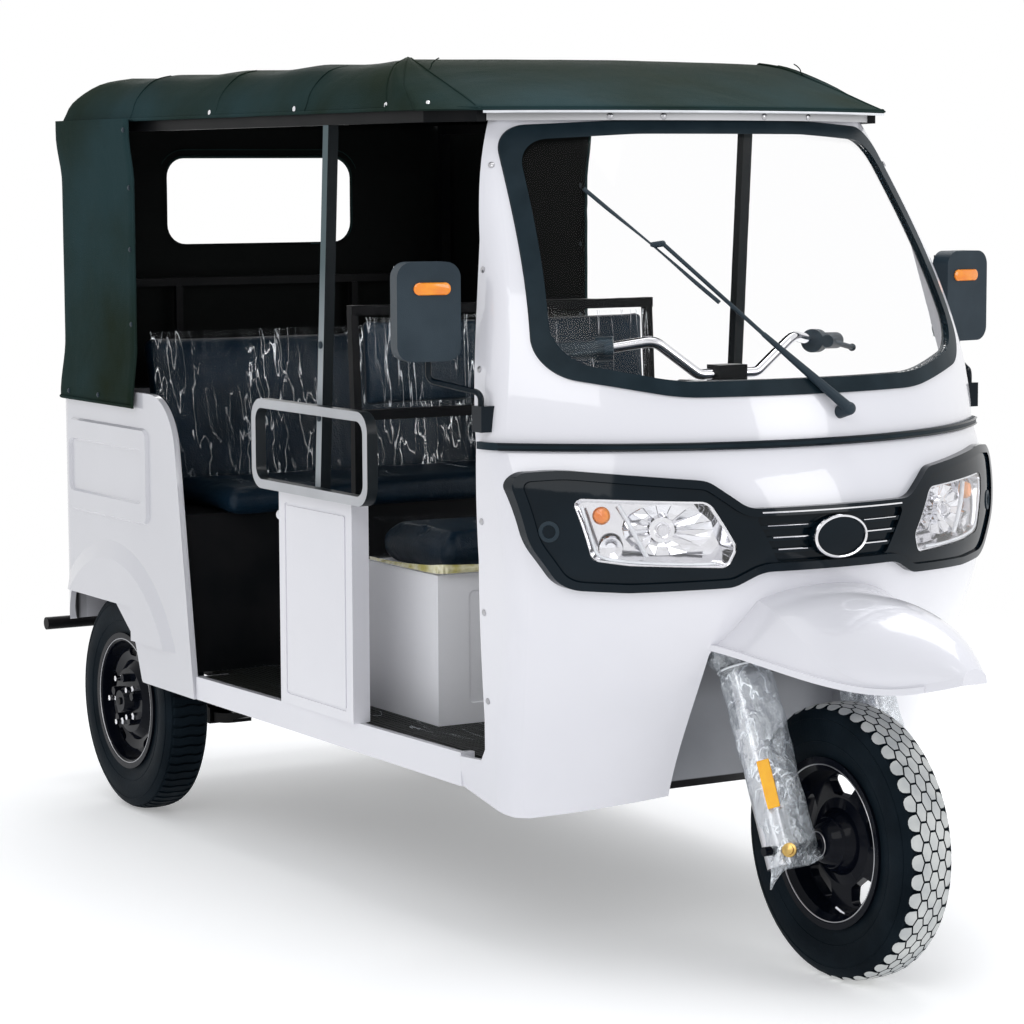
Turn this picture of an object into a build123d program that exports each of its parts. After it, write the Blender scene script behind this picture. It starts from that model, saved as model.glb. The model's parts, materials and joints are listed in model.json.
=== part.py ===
from build123d import *
from math import cos, radians, sin, sqrt, tan
import os

# Passenger auto rickshaw: three wheels, a pressed cab in front, a hooded bench body behind.
# Millimetres. +X is the vehicle's left, +Y points to the rear, +Z is up, the ground is Z = 0.
# Everything is drawn with the front axle at Y = 0 and moved by FRONT_AXLE_Y when it is written.

# ---------------------------------------------------------------- driving dimensions
WHEELBASE = 2200
FRONT_OVERHANG = 374            # mudguard tip ahead of the front axle
REAR_OVERHANG = 450             # bumper bar behind the rear axle
FRONT_AXLE_Y = -(WHEELBASE + REAR_OVERHANG - FRONT_OVERHANG) / 2

TYRE_RADIUS = 267
TYRE_WIDTH = 112
TYRE_WALL = 13
BEAD_RADIUS = 154               # inside of the tyre, on the rim's well
RIM_RADIUS = 166                # outer edge of the rim's flanges
REAR_TRACK = 966
MOTOR_AHEAD = 104               # the motor's rear flange ahead of the rear axle
SEAT_GAP = 0.3                  # clearance of pieces that rest against each other
AXLE_RADIUS = 9
AXLE_TUBE_RADIUS = 30
LEAF_THICK = 8
SPOKES = 5

CAB_WALL = 12
NOSE_RADIUS = 800               # plan radius of the cab's front, the same at every height
CAB_CORNER_RADIUS = 70
CAB_BACK_Y = 760                # the cab's lofts run this far back before the door edge trims them
WAIST_Z = 1028
CAB_TOP_Z = 1645
HEADER_BACK_Y = 566             # rear ends of the flange on top of the cab
CAB_FOOT_Z = 286
# height, nose position on the centre line, half width
LOWER_SECTIONS = ((CAB_FOOT_Z, 272, 497), (540, 165, 537), (790, 62, 570), (WAIST_Z, 100, 584))
UPPER_SECTIONS = ((WAIST_Z, 100, 584), (1156, 125, 571), (1303, 190, 546), (1450, 285, 519),
                  (CAB_TOP_Z, 435, 478))
# side view of the door opening's front edge, from the waist down and from the waist up: y, z
DOOR_EDGE_LOW = ((407, WAIST_Z), (421, 803), (476, 483), (493, 416))
DOOR_EDGE_HIGH = ((407, WAIST_Z), (490, 1415), (577, CAB_TOP_Z))

FLOOR_Z = 385
FLOOR_THICK = 10
SILL_BOTTOM_Z = 323
SILL_TOP_Z = 391
SILL_OUTER_X = 508
SILL_REAR_X = 556               # its outer face at the rear body
SILL_REAR_Z = 338               # its underside there
SILL_INNER_X = 476
CAB_FOOT_BACK_Y = 605           # where the cab's foot ends and the sill begins

WELL_HALF_WIDTH = 219           # front wheel arch cut in the cab, and its liner
WELL_CORNERS = ((88, 746), (147, 718), (WELL_HALF_WIDTH, 628))
WELL_BACK_Y = 345
LINER_THICK = 5
MUDGUARD_THICK = 4
GUARD_LIP = 12                  # height of the rolled band along the mudguard's lower edge
GUARD_ROOT = 40                 # depth of the mudguard's root inside the wheel arch

RAKE = 24.5                     # steering axis, degrees from upright
AXIS_FOOT_Y = 18                # the steering axis at the height of the front axle
FORK_HALF_SPACING = 150
FORK_LEG_RADIUS = 31
STANCHION_RADIUS = 20
STEM_RADIUS = 15
HEAD_TUBE_RADIUS = 25

BODY_HALF_WIDTH = 562           # rear body, outside of its side panels
BODY_SKIN = 14
BODY_TOP_Z = 1005
DECK_Z = 756                    # top of the deck under the bench's cushion
BODY_CORNER_RADIUS = 52         # upright rear corners
TAIL_HALF_WIDTH = 505           # the tail panel between the side panels' rounded corners
BODY_BACK = 314                 # rear body's back behind the rear axle
PLINTH_AHEAD = 371              # front of the bench's plinth ahead of the rear axle
BODY_FOOT = 455                 # foot of the rear body's front edge ahead of the rear axle
BODY_SHOULDER = 350             # top of that edge, before its corner is rounded
RIB_RISE = 7                    # pressed ribs stand this far out of the side panel
FLARE_RISE = 11
PLATE_HOLE_SPACING = 140
PLATE_HOLE_RADIUS = 3.3
PLATE_HOLE_Z = 640

HOOD_THICK = 8
HOOD_HALF_WIDTH = BODY_HALF_WIDTH + 12
FRAME_X = BODY_HALF_WIDTH - 50  # inner face of the hood frame's rails
CROSSBAR_Z = 1262
HOOD_BACK = 326                 # behind the rear axle
VALANCE_Z = 1667
ROOF_Z = 1779
FLAP_BOTTOM_Z = 992
WINDOW_HALF = 262               # the rear window of the hood's curtain
WINDOW_Z = (1366, 1582)
FLAP_FRONT = 160                # hood's right side flap starts this far ahead of the rear axle
FLAP_FRONT_LEFT = 370           # the left one, which also closes the opening beside the bench

PILLAR_Y = 1125                 # roof pillar between the two side openings
PILLAR_BOX_Y = (1002, 1340)
PILLAR_BOX_TOP_Z = 856
FRAME_TUBE = 24

RAIL_X = 300
RAIL_WIDTH = 40
RAIL_Z = (312, 374.7)

UPRIGHT = (Align.CENTER, Align.CENTER, Align.MIN)
PARTS = {}


# ---------------------------------------------------------------- helpers
def slab(x, y, z):
    """Box between its (low, high) limits along each axis."""
    centre = Pos((x[0] + x[1]) / 2, (y[0] + y[1]) / 2, (z[0] + z[1]) / 2)
    return centre * Box(x[1] - x[0], y[1] - y[0], z[1] - z[0])


def pair(shape):
    """A piece and its mirror image on the other side of the vehicle."""
    return shape + mirror(shape, Plane.YZ)


def rod(start, end, radius):
    """Round bar between two points."""
    start, end = Vector(*start), Vector(*end)
    axis = end - start
    return Plane(origin=start, z_dir=axis) * Cylinder(radius, axis.length, align=UPRIGHT)


def bent_tube(points, radii, radius):
    """Round tube along straight runs joined by tangent arcs."""
    path = FilletPolyline(*points, radius=radii)
    start = Plane(origin=path @ 0, z_dir=path % 0)
    return sweep(start * Circle(radius), path=path)


def side_prism(outline, x_low, x_high, radii=0):
    """Solid whose side view is a closed outline of (y, z) points, with its corners rounded."""
    wire = FilletPolyline(*outline, radius=radii, close=True) if radii else Polyline(*outline, close=True)
    return extrude(Plane.YZ.offset(x_low) * make_face(wire), amount=x_high - x_low)


def front_prism(outline, y_low, y_high, radii=0):
    """Solid whose front view is a closed outline of (x, z) points, with its corners rounded."""
    wire = FilletPolyline(*outline, radius=radii, close=True) if radii else Polyline(*outline, close=True)
    plane = Plane(origin=(0, y_high, 0), x_dir=(1, 0, 0), z_dir=(0, -1, 0))
    return extrude(plane * make_face(wire), amount=y_high - y_low)


def both_halves(outline):
    """A symmetric closed outline from the points of its right half, listed from top to bottom."""
    return [(x, z) for x, z in outline] + [(-x, z) for x, z in reversed(outline)]


def axis_point(z, ahead=0.0):
    """Point of the steering axis at a height, or a line parallel to it, as (y, z)."""
    return AXIS_FOOT_Y - ahead + (z - TYRE_RADIUS) * tan(radians(RAKE)), z


# ---------------------------------------------------------------- cab
def cab_face(z, nose_y, half_width, grow, back_y):
    """Plan outline of the cab: one arc across the nose, straight sides, rounded corners."""
    radius = NOSE_RADIUS + grow
    half = half_width + grow
    nose = nose_y - grow
    shoulder_y = nose + radius - sqrt(radius**2 - half**2)
    front = ThreePointArc((-half, shoulder_y), (0, nose), (half, shoulder_y))
    sides = Polyline((half, shoulder_y), (half, back_y), (-half, back_y), (-half, shoulder_y))
    face = make_face([front, *sides.edges()])
    corners = face.vertices().filter_by(lambda vertex: abs(vertex.Y - shoulder_y) < 0.01)
    return Pos(0, 0, z) * fillet(corners, CAB_CORNER_RADIUS + grow)


def cab_block(sections, grow=0.0, back_y=CAB_BACK_Y):
    """Solid cab between its lowest and highest section, grown or shrunk by an offset."""
    return loft([cab_face(z, nose_y, half, grow, back_y) for z, nose_y, half in sections])


def screen_point(x, z, out):
    """Point of the upper cab's outer surface in front view, moved forward by a distance."""
    for (low_z, low_y, _), (high_z, high_y, _) in zip(UPPER_SECTIONS, UPPER_SECTIONS[1:]):
        if low_z <= z <= high_z:
            nose = low_y + (high_y - low_y) * (z - low_z) / (high_z - low_z)
    return (x, nose + NOSE_RADIUS - sqrt(NOSE_RADIUS**2 - x**2) - out, z)


def cab_skin(sections, outside, inside):
    """Layer of the cab between two offsets from its outer surface, open at the back."""
    return cab_block(sections, outside) - cab_block(sections, inside, CAB_BACK_Y + 100)


def well_arch(grow, base_z):
    """Right half of the wheel arch, just under the mudguard's root: crown, shoulder, flank and leg."""
    crown, shoulder, foot = WELL_CORNERS
    return [(crown[0] + grow / 2, crown[1] + grow), (shoulder[0] + grow, shoulder[1] + grow),
            (foot[0] + grow, foot[1]), (foot[0] + grow, base_z)]


ARCH_RADII = [60, 30, 20, 0.1, 0.1, 20, 30, 60]

# windscreen seal's outer and inner edge, right half from the top: x, z
SEAL_OUTER = [(200, 1646), (452, 1634), (516, 1165), (280, 1119)]
SEAL_INNER = [(200, 1618), (424, 1606), (486, 1192), (280, 1149)]
SEAL_RADII = [900, 66, 72, 420, 420, 72, 66, 900]
SEAL_PROUD = 5
PANE_THICK = 5

# black lamp and grille mask: outer edge, then each lamp's lens and the grille's opening: x, z
MASK_OUTER = [(190, 912), (262, 966), (500, 988), (582, 980), (558, 848), (505, 762), (400, 756),
              (212, 762), (158, 790)]
MASK_RADII = [60, 50, 200, 30, 120, 60, 200, 60, 80]
LENS = [(262, 927), (492, 936), (462, 818), (400, 808), (226, 800), (210, 838)]
GRILLE_OPENING = [(0, 897), (176, 897), (128, 808), (0, 808)]
MASK_PROUD = 13
MASK_BORDER = 16                # width of the raised border round the mask
MASK_BORDER_RISE = 5
LAMP_DEPTH = 42


def mask_prism(shrink=0.0):
    """Prism of the mask's outline in front view, shrunk by a distance."""
    outline = MASK_OUTER + [(-x, z) for x, z in reversed(MASK_OUTER)]
    face = make_face(FilletPolyline(*outline, radius=MASK_RADII + MASK_RADII[::-1], close=True))
    if shrink:
        face = offset(face, -shrink)
    plane = Plane(origin=(0, 400, 0), x_dir=(1, 0, 0), z_dir=(0, -1, 0))
    return extrude(plane * face, amount=600)


def lens_prism(shrink=0.0):
    """Prism of one lamp's rounded opening, on the left side of the vehicle."""
    face = make_face(FilletPolyline(*LENS, radius=[26, 14, 20, 20, 20, 22], close=True))
    if shrink:
        face = offset(face, -shrink)
    plane = Plane(origin=(0, 400, 0), x_dir=(1, 0, 0), z_dir=(0, -1, 0))
    return extrude(plane * face, amount=600)


def build_cab():
    well = front_prism(both_halves(well_arch(0, 200)), -100, 700, ARCH_RADII)
    lower = cab_skin(LOWER_SECTIONS, 0, -CAB_WALL)
    foot = ((-200, CAB_FOOT_Z), (436, CAB_FOOT_Z), (CAB_FOOT_BACK_Y, SILL_BOTTOM_Z),
            (CAB_FOOT_BACK_Y, FLOOR_Z), (515, SILL_TOP_Z), *reversed(DOOR_EDGE_LOW), (-200, WAIST_Z))
    lower = lower & side_prism(foot, -700, 700)
    hem = both_halves([(WELL_HALF_WIDTH, 326), (460, CAB_FOOT_Z), (460, 200), (WELL_HALF_WIDTH, 200)])
    lower = lower - well - pair(lens_prism(-3)) - front_prism(hem, -100, 420)
    PARTS["cab_lower_shell"] = lower

    upper = cab_skin(UPPER_SECTIONS, 0, -CAB_WALL)
    frame = ((-200, WAIST_Z), *DOOR_EDGE_HIGH, (-200, CAB_TOP_Z))
    screen = front_prism(both_halves(SEAL_OUTER), -200, 700, SEAL_RADII)
    PARTS["cab_upper_shell"] = (upper & side_prism(frame, -700, 700)) - screen

    pane_hole = front_prism(both_halves(SEAL_INNER), -200, 700, SEAL_RADII)
    seal = cab_skin(UPPER_SECTIONS, SEAL_PROUD, -CAB_WALL - SEAL_PROUD) & (screen - pane_hole)
    PARTS["windscreen_seal"] = seal
    PARTS["windscreen_glass"] = cab_skin(UPPER_SECTIONS, -2, -2 - PANE_THICK) & pane_hole

    rim = UPPER_SECTIONS[-1]
    header = extrude(cab_face(*rim, 15, CAB_BACK_Y), amount=VALANCE_Z - SEAT_GAP - CAB_TOP_Z)
    header = header & slab((-600, 600), (0, HEADER_BACK_Y), (CAB_TOP_Z, VALANCE_Z))
    header -= extrude(cab_face(*rim, -45, CAB_BACK_Y), amount=40)
    PARTS["cab_header"] = header

    strip = extrude(cab_face(WAIST_Z - 7, 100, 583, 9, CAB_BACK_Y), amount=14)
    strip = strip & slab((-700, 700), (0, 392), (WAIST_Z - 7, WAIST_Z + 7))
    strip -= cab_block(LOWER_SECTIONS) + cab_block(UPPER_SECTIONS)
    PARTS["waist_moulding"] = strip

    outside = both_halves(well_arch(LINER_THICK, SILL_BOTTOM_Z + 4))
    liner = front_prism(outside, -100, WELL_BACK_Y + LINER_THICK, ARCH_RADII)
    liner -= front_prism(both_halves(well_arch(0, 200)), -200, WELL_BACK_Y, ARCH_RADII)
    liner = liner & cab_block(LOWER_SECTIONS, -CAB_WALL)
    foot_y, foot_z = axis_point(600)
    top_y, top_z = axis_point(1000)
    liner -= rod((0, foot_y, foot_z), (0, top_y, top_z), HEAD_TUBE_RADIUS + 4)
    PARTS["wheel_well_liner"] = liner


def build_front_lamps():
    mask = cab_skin(LOWER_SECTIONS, MASK_PROUD, 0) & mask_prism()
    mask += cab_skin(LOWER_SECTIONS, MASK_PROUD + MASK_BORDER_RISE, MASK_PROUD - 1) & (
        mask_prism() - mask_prism(MASK_BORDER))
    opening = both_halves(GRILLE_OPENING[1:3])
    grille_hole = front_prism(opening, -200, 400, [8, 14, 14, 8])
    mask = mask - pair(lens_prism()) - grille_hole
    PARTS["lamp_mask"] = mask

    bowl = cab_skin(LOWER_SECTIONS, MASK_PROUD - 5, -LAMP_DEPTH)
    cavity = cab_skin(LOWER_SECTIONS, MASK_PROUD + 5, -LAMP_DEPTH + 4)
    PARTS["headlamp_bowls"] = pair((bowl & lens_prism(0.3)) - (cavity & lens_prism(4)))
    lens = cab_skin(LOWER_SECTIONS, MASK_PROUD - 1, MASK_PROUD - 4.7)
    PARTS["headlamp_lenses"] = pair(lens & lens_prism(0.3))

    plate = cab_skin(LOWER_SECTIONS, 4, 0) & grille_hole
    slats = [slab((-190, 190), (-100, 300), (z - 4, z + 4)) for z in (829, 852, 875)]
    bars = cab_skin(LOWER_SECTIONS, MASK_PROUD - 2, 2) & grille_hole & (slats[0] + slats[1] + slats[2])
    badge = Plane(origin=(0, 100, 852), x_dir=(1, 0, 0), z_dir=(0, -1, 0)) * Ellipse(62, 41)
    badge = extrude(badge, amount=84)
    badge = (badge & cab_block(LOWER_SECTIONS, MASK_PROUD + 12)) - cab_block(LOWER_SECTIONS, 2)
    PARTS["grille"] = plate + bars + badge


def guard_section(y, half, top, base, shoulder_x, shoulder_z, wall):
    """Cross-section of the mudguard: an arched crown between two shoulders, with straight flanks."""
    depth = 0 if wall == 0 else 40
    left, right = (-shoulder_x + wall, shoulder_z - wall), (shoulder_x - wall, shoulder_z - wall)
    crown = ThreePointArc(left, (0, top - wall), right)
    flanks = Polyline(right, (half - wall, base - depth), (wall - half, base - depth), left)
    return Plane(origin=(0, y, 0), x_dir=(1, 0, 0), z_dir=(0, -1, 0)) * make_face([crown, *flanks.edges()])


def build_mudguard():
    # y, half width, crown height, lower edge height, shoulder x, shoulder height
    stations = ((150, 219, 767, 634, 150, 722), (-40, 160, 752, 604, 138, 668),
                (-195, 104, 737, 588, 101, 606), (-305, 60, 698, 602, 58, 618),
                (-FRONT_OVERHANG, 28, 650, 622, 26, 636))
    outer = loft([guard_section(*row, 0) for row in stations])
    outer += extrude(guard_section(*stations[0], 0), amount=-GUARD_ROOT)
    lip = loft([Plane(origin=(0, y, base + GUARD_LIP / 2), x_dir=(1, 0, 0), z_dir=(0, -1, 0))
                * Rectangle(2 * half + 2 * MUDGUARD_THICK, GUARD_LIP) for y, half, _, base, *_ in stations[:-1]])
    inner = loft([guard_section(*row, MUDGUARD_THICK) for row in stations[:-1]])
    inner += extrude(guard_section(*stations[0], MUDGUARD_THICK), amount=-GUARD_ROOT - 5)
    PARTS["front_mudguard"] = (outer + lip) - inner
    for name in ("cab_lower_shell", "wheel_well_liner"):
        PARTS[name] = PARTS[name] - outer - lip


def build_cab_inside():
    inside = cab_block(LOWER_SECTIONS, -CAB_WALL - SEAT_GAP)
    shelf = slab((-600, 600), (0, 296), (985, 1015)) & inside
    apron = slab((-600, 600), (284, 296), (800, 985)) & inside
    column = rod((0, *axis_point(740)), (0, *axis_point(1080)), HEAD_TUBE_RADIUS + 12)
    PARTS["dashboard"] = shelf + apron - column

    head_low, head_high = axis_point(668), axis_point(905)
    head = rod((0, *head_low), (0, *head_high), HEAD_TUBE_RADIUS)
    down_y = WELL_BACK_Y + LINER_THICK + 24
    elbow_y, elbow_z = axis_point(842)
    brace = slab((-18, 18), (elbow_y, down_y + 18), (elbow_z - 20, elbow_z + 20))
    post = slab((-18, 18), (down_y - 18, down_y + 18), (FLOOR_Z, elbow_z + 20))
    head = head + brace + post - rod((0, *axis_point(600)), (0, *axis_point(1000)), STEM_RADIUS + SEAT_GAP)
    PARTS["headstock"] = head

    pedal = slab((-150, -80), (410, 470), (FLOOR_Z, FLOOR_Z + 14)) + slab((-150, -80), (396, 414), (500, 540))
    PARTS["foot_brake"] = pedal + slab((-124, -108), (400, 414), (FLOOR_Z, 500))


# ---------------------------------------------------------------- floor, sills and chassis
def sill_section(y, outer_x, base_z, wall):
    """Upright section of the left sill, shrunk by its wall for the hollow inside."""
    middle = ((SILL_INNER_X + outer_x) / 2, y, (base_z + SILL_TOP_Z) / 2)
    plane = Plane(origin=middle, x_dir=(1, 0, 0), z_dir=(0, 1, 0))
    return plane * Rectangle(outer_x - SILL_INNER_X - 2 * wall, SILL_TOP_Z - base_z - 2 * wall)


def build_floor():
    plinth_y = WHEELBASE - PLINTH_AHEAD - SEAT_GAP
    pan = slab((-SILL_INNER_X, SILL_INNER_X), (CAB_BACK_Y - 40, plinth_y), (FLOOR_Z - FLOOR_THICK, FLOOR_Z))
    front = slab((-SILL_INNER_X, SILL_INNER_X), (0, CAB_BACK_Y - 40), (FLOOR_Z - FLOOR_THICK, FLOOR_Z))
    front = front & cab_block(LOWER_SECTIONS, -CAB_WALL - SEAT_GAP)
    front -= slab((-WELL_HALF_WIDTH - 6, WELL_HALF_WIDTH + 6), (-100, WELL_BACK_Y + LINER_THICK + 1), (300, 500))
    PARTS["floor_pan"] = pan + front

    sill_back_y = WHEELBASE - BODY_FOOT
    sill = loft([sill_section(CAB_FOOT_BACK_Y, SILL_OUTER_X, SILL_BOTTOM_Z, 0),
                 sill_section(sill_back_y, SILL_REAR_X, SILL_REAR_Z, 0)])
    hollow = loft([sill_section(CAB_FOOT_BACK_Y + 3, SILL_OUTER_X, SILL_BOTTOM_Z, 3),
                   sill_section(sill_back_y - 3, SILL_REAR_X, SILL_REAR_Z, 3)])
    PARTS["side_sills"] = pair(sill - hollow)

    low, high = RAIL_Z
    rail_x = (RAIL_X - RAIL_WIDTH / 2, RAIL_X + RAIL_WIDTH / 2)
    rail = slab(rail_x, (WELL_BACK_Y + 40, WHEELBASE + 300), (low, high))
    edge = rail_x[0] - SEAT_GAP
    crosses = [slab((-edge, edge), (y - 18, y + 18), (low + 10, high - 10))
               for y in (WELL_BACK_Y + 60, 820, 1300, 1750, WHEELBASE + 280)]
    PARTS["chassis_frame"] = pair(rail) + crosses


# ---------------------------------------------------------------- rear body
def body_plan(inset):
    """Upright prism of the rear body's plan, with its two rear corners rounded."""
    back, half = WHEELBASE + BODY_BACK - inset, BODY_HALF_WIDTH - inset
    front = WHEELBASE - BODY_FOOT - (20 if inset > 0 else 0)
    radius = BODY_CORNER_RADIUS - inset
    outline = [(half, front), (half, back), (-half, back), (-half, front)]
    face = make_face(FilletPolyline(*outline, radius=[0, radius, radius, 0], close=True))
    return extrude(Pos(0, 0, 300) * face, amount=760)


def side_pressings():
    """The left side panel's ribs, a rounded frame in one piece, and the flare round its wheel arch."""
    surface = Plane(origin=(BODY_HALF_WIDTH - 2, 0, 0), x_dir=(0, 1, 0), z_dir=(1, 0, 0))
    rise = RIB_RISE + 2
    frame = Pos(WHEELBASE + 12, 832) * RectangleRounded(470, 232, 26)
    field = Pos(WHEELBASE + 24, 831) * RectangleRounded(420, 118, 14)
    ribs = extrude(surface * (frame - field), amount=rise, taper=35)
    at_wheel = Pos(BODY_HALF_WIDTH - 2, WHEELBASE, TYRE_RADIUS) * Rot(0, 90, 0)
    flare = at_wheel * Cone(402, 352, FLARE_RISE + 2, align=UPRIGHT)
    behind = slab((0, 700), (WHEELBASE + BODY_BACK - BODY_CORNER_RADIUS, WHEELBASE + 500), (0, 1000))
    below = slab((0, 700), (WHEELBASE - 500, WHEELBASE + 500), (-300, 434)) + slab(
        (0, 700), (WHEELBASE - 126, WHEELBASE + 500), (-300, 514))
    return ribs + (flare - behind - below)


def tail_pressings(back_y):
    """Shallow recesses of the tail panel, with the two holes for a plate's bolts."""
    outside = Plane(origin=(0, back_y + 1, 0), x_dir=(1, 0, 0), z_dir=(0, -1, 0))
    depth = RIB_RISE + 1
    upper = extrude(outside * (Pos(0, 850) * RectangleRounded(880, 190, 30)), amount=depth, taper=30)
    lower = extrude(outside * (Pos(0, PLATE_HOLE_Z) * RectangleRounded(420, 150, 24)), amount=depth, taper=30)
    holes = pair(rod((PLATE_HOLE_SPACING / 2, back_y - 60, PLATE_HOLE_Z),
                     (PLATE_HOLE_SPACING / 2, back_y + 20, PLATE_HOLE_Z), PLATE_HOLE_RADIUS))
    return upper + lower + holes


def build_rear_body():
    axle = WHEELBASE
    outline = [(axle - BODY_FOOT, SILL_REAR_Z), (axle - BODY_SHOULDER, 1030), (axle - 150, 1030),
               (axle - 130, BODY_TOP_Z), (axle + 292, BODY_TOP_Z), (axle + BODY_BACK, 434), (axle + 290, 434),
               (axle + 256, 514), (axle - 12, 514), (axle - 126, 434), (axle - 165, SILL_REAR_Z)]
    radii = [0.1, 140, 6, 30, 0.1, 6, 4, 30, 60, 40, 10]
    skin = body_plan(0) - body_plan(BODY_SKIN)
    back_y = axle + BODY_BACK
    middle = slab((-TAIL_HALF_WIDTH, TAIL_HALF_WIDTH), (back_y - 60, back_y + 10), (200, 1200))
    sides = (skin & side_prism(outline, -BODY_HALF_WIDTH, BODY_HALF_WIDTH, radii)) - middle
    arch = side_prism(outline[5:10] + [(axle - 165, 100), (axle + 400, 100)], -700, 700, 0)
    edge = bent_tube([(553, axle - BODY_FOOT + 9, SILL_REAR_Z), (553, axle - BODY_SHOULDER + 7, 1021),
                      (553, axle - 150, 1021)], [132], 9)
    PARTS["rear_side_panels"] = (sides + pair(edge) + pair(side_pressings())) - arch
    tail = skin & slab((-TAIL_HALF_WIDTH, TAIL_HALF_WIDTH), (back_y - 60, back_y), (434, BODY_TOP_Z))
    PARTS["tail_panel"] = tail - tail_pressings(back_y)

    inner = BODY_HALF_WIDTH - 18 - 1
    front_y = axle - PLINTH_AHEAD
    under_deck = DECK_Z - 6
    plinth = slab((-inner, inner), (front_y, front_y + 6), (FLOOR_Z, under_deck))
    deck = slab((-inner, inner), (front_y, axle + BODY_BACK - BODY_SKIN - 1), (under_deck, DECK_Z))
    tub = plinth + deck
    for side in (-1, 1):
        wall_x = sorted((side * 400, side * 406))
        lid_x = sorted((side * 400, side * inner))
        tub += slab(wall_x, (axle - 300, axle + BODY_BACK - BODY_SKIN - 1), (FLOOR_Z, under_deck))
        tub += slab(lid_x, (axle - 300, axle + BODY_BACK - BODY_SKIN - 1), (600, 606))
        tub += slab(lid_x, (axle - 306, axle - 300), (FLOOR_Z, 606))
    PARTS["rear_tub"] = tub & body_plan(BODY_SKIN + 1)
    PARTS["battery_pack"] = slab((-310, 310), (axle - 340, axle - 60), (RAIL_Z[1] + SEAT_GAP, 620))

    bench = slab((-470, 470), (axle - 455, axle - 75), (DECK_Z + SEAT_GAP, 818))
    PARTS["rear_seat_cushion"] = fillet(bench.edges().filter_by(Axis.X).group_by(Axis.Z)[-1], 22)
    rest_outline = [(axle - 75 + SEAT_GAP, DECK_Z + SEAT_GAP), (axle + 4, DECK_Z + SEAT_GAP),
                    (axle + 84, 1163), (axle + 20, 1163)]
    PARTS["rear_seat_back"] = side_prism(rest_outline, -470, 470, [14, 14, 26, 26])

    box = slab((-385, 385), (912, 1240), (FLOOR_Z, 705))
    box -= slab((-375, 375), (922, 1230), (FLOOR_Z - 5, 695))
    ahead = Plane(origin=(0, 911, 0), x_dir=(1, 0, 0), z_dir=(0, 1, 0))
    box -= extrude(ahead * (Pos(0, -548) * RectangleRounded(620, 240, 12)), amount=4, taper=20)
    PARTS["driver_seat_box"] = box
    cushion = slab((-390, 390), (900, 1236), (705 + SEAT_GAP, 788))
    PARTS["driver_seat_cushion"] = fillet(cushion.edges().filter_by(Axis.X).group_by(Axis.Z)[-1], 24)
    PARTS["driver_backrest"] = side_prism([(1248, 1029.3), (1290, 1029.3), (1304, 1234.7), (1262, 1234.7)],
                                          -373.7, 373.7, 12)
    frame = []
    for z in (1018, 1246):
        y = 1270 + (z - 1018) * 0.06
        frame.append(slab((-392, 392), (y - 11, y + 11), (z - 11, z + 11)))
    for x in (-383, 383):
        frame.append(slab((x - 9, x + 9), (1262, 1282), (705, 1018)))
        frame.append(side_prism([(1262, 1018), (1282, 1018), (1296, 1246), (1276, 1246)], x - 9, x + 9))
    PARTS["backrest_frame"] = frame[0] + frame[1:] + slab((-392, 392), (1240, 1284), (690, 705))


# ---------------------------------------------------------------- hood and its frame
def hood_plan(z, nose_y, corner, shoulder, back_y, rear_radius, wall=0.0):
    """Plan outline of the hood: an arc across the front, folds out to the shoulders, straight sides."""
    (corner_x, corner_y), (half, shoulder_y) = corner, shoulder
    corner_x, half, back = corner_x - wall, half - wall, back_y - wall
    corner_y, shoulder_y = corner_y + wall, shoulder_y + wall
    front = ThreePointArc((-corner_x, corner_y), (0, nose_y + wall), (corner_x, corner_y))
    sides = Polyline((corner_x, corner_y), (half, shoulder_y), (half, back), (-half, back), (-half, shoulder_y),
                     (-corner_x, corner_y))
    face = make_face([front, *sides.edges()])
    rear = face.vertices().group_by(Axis.Y)[-1]
    return Pos(0, 0, z) * fillet(rear, rear_radius - wall)


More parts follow.
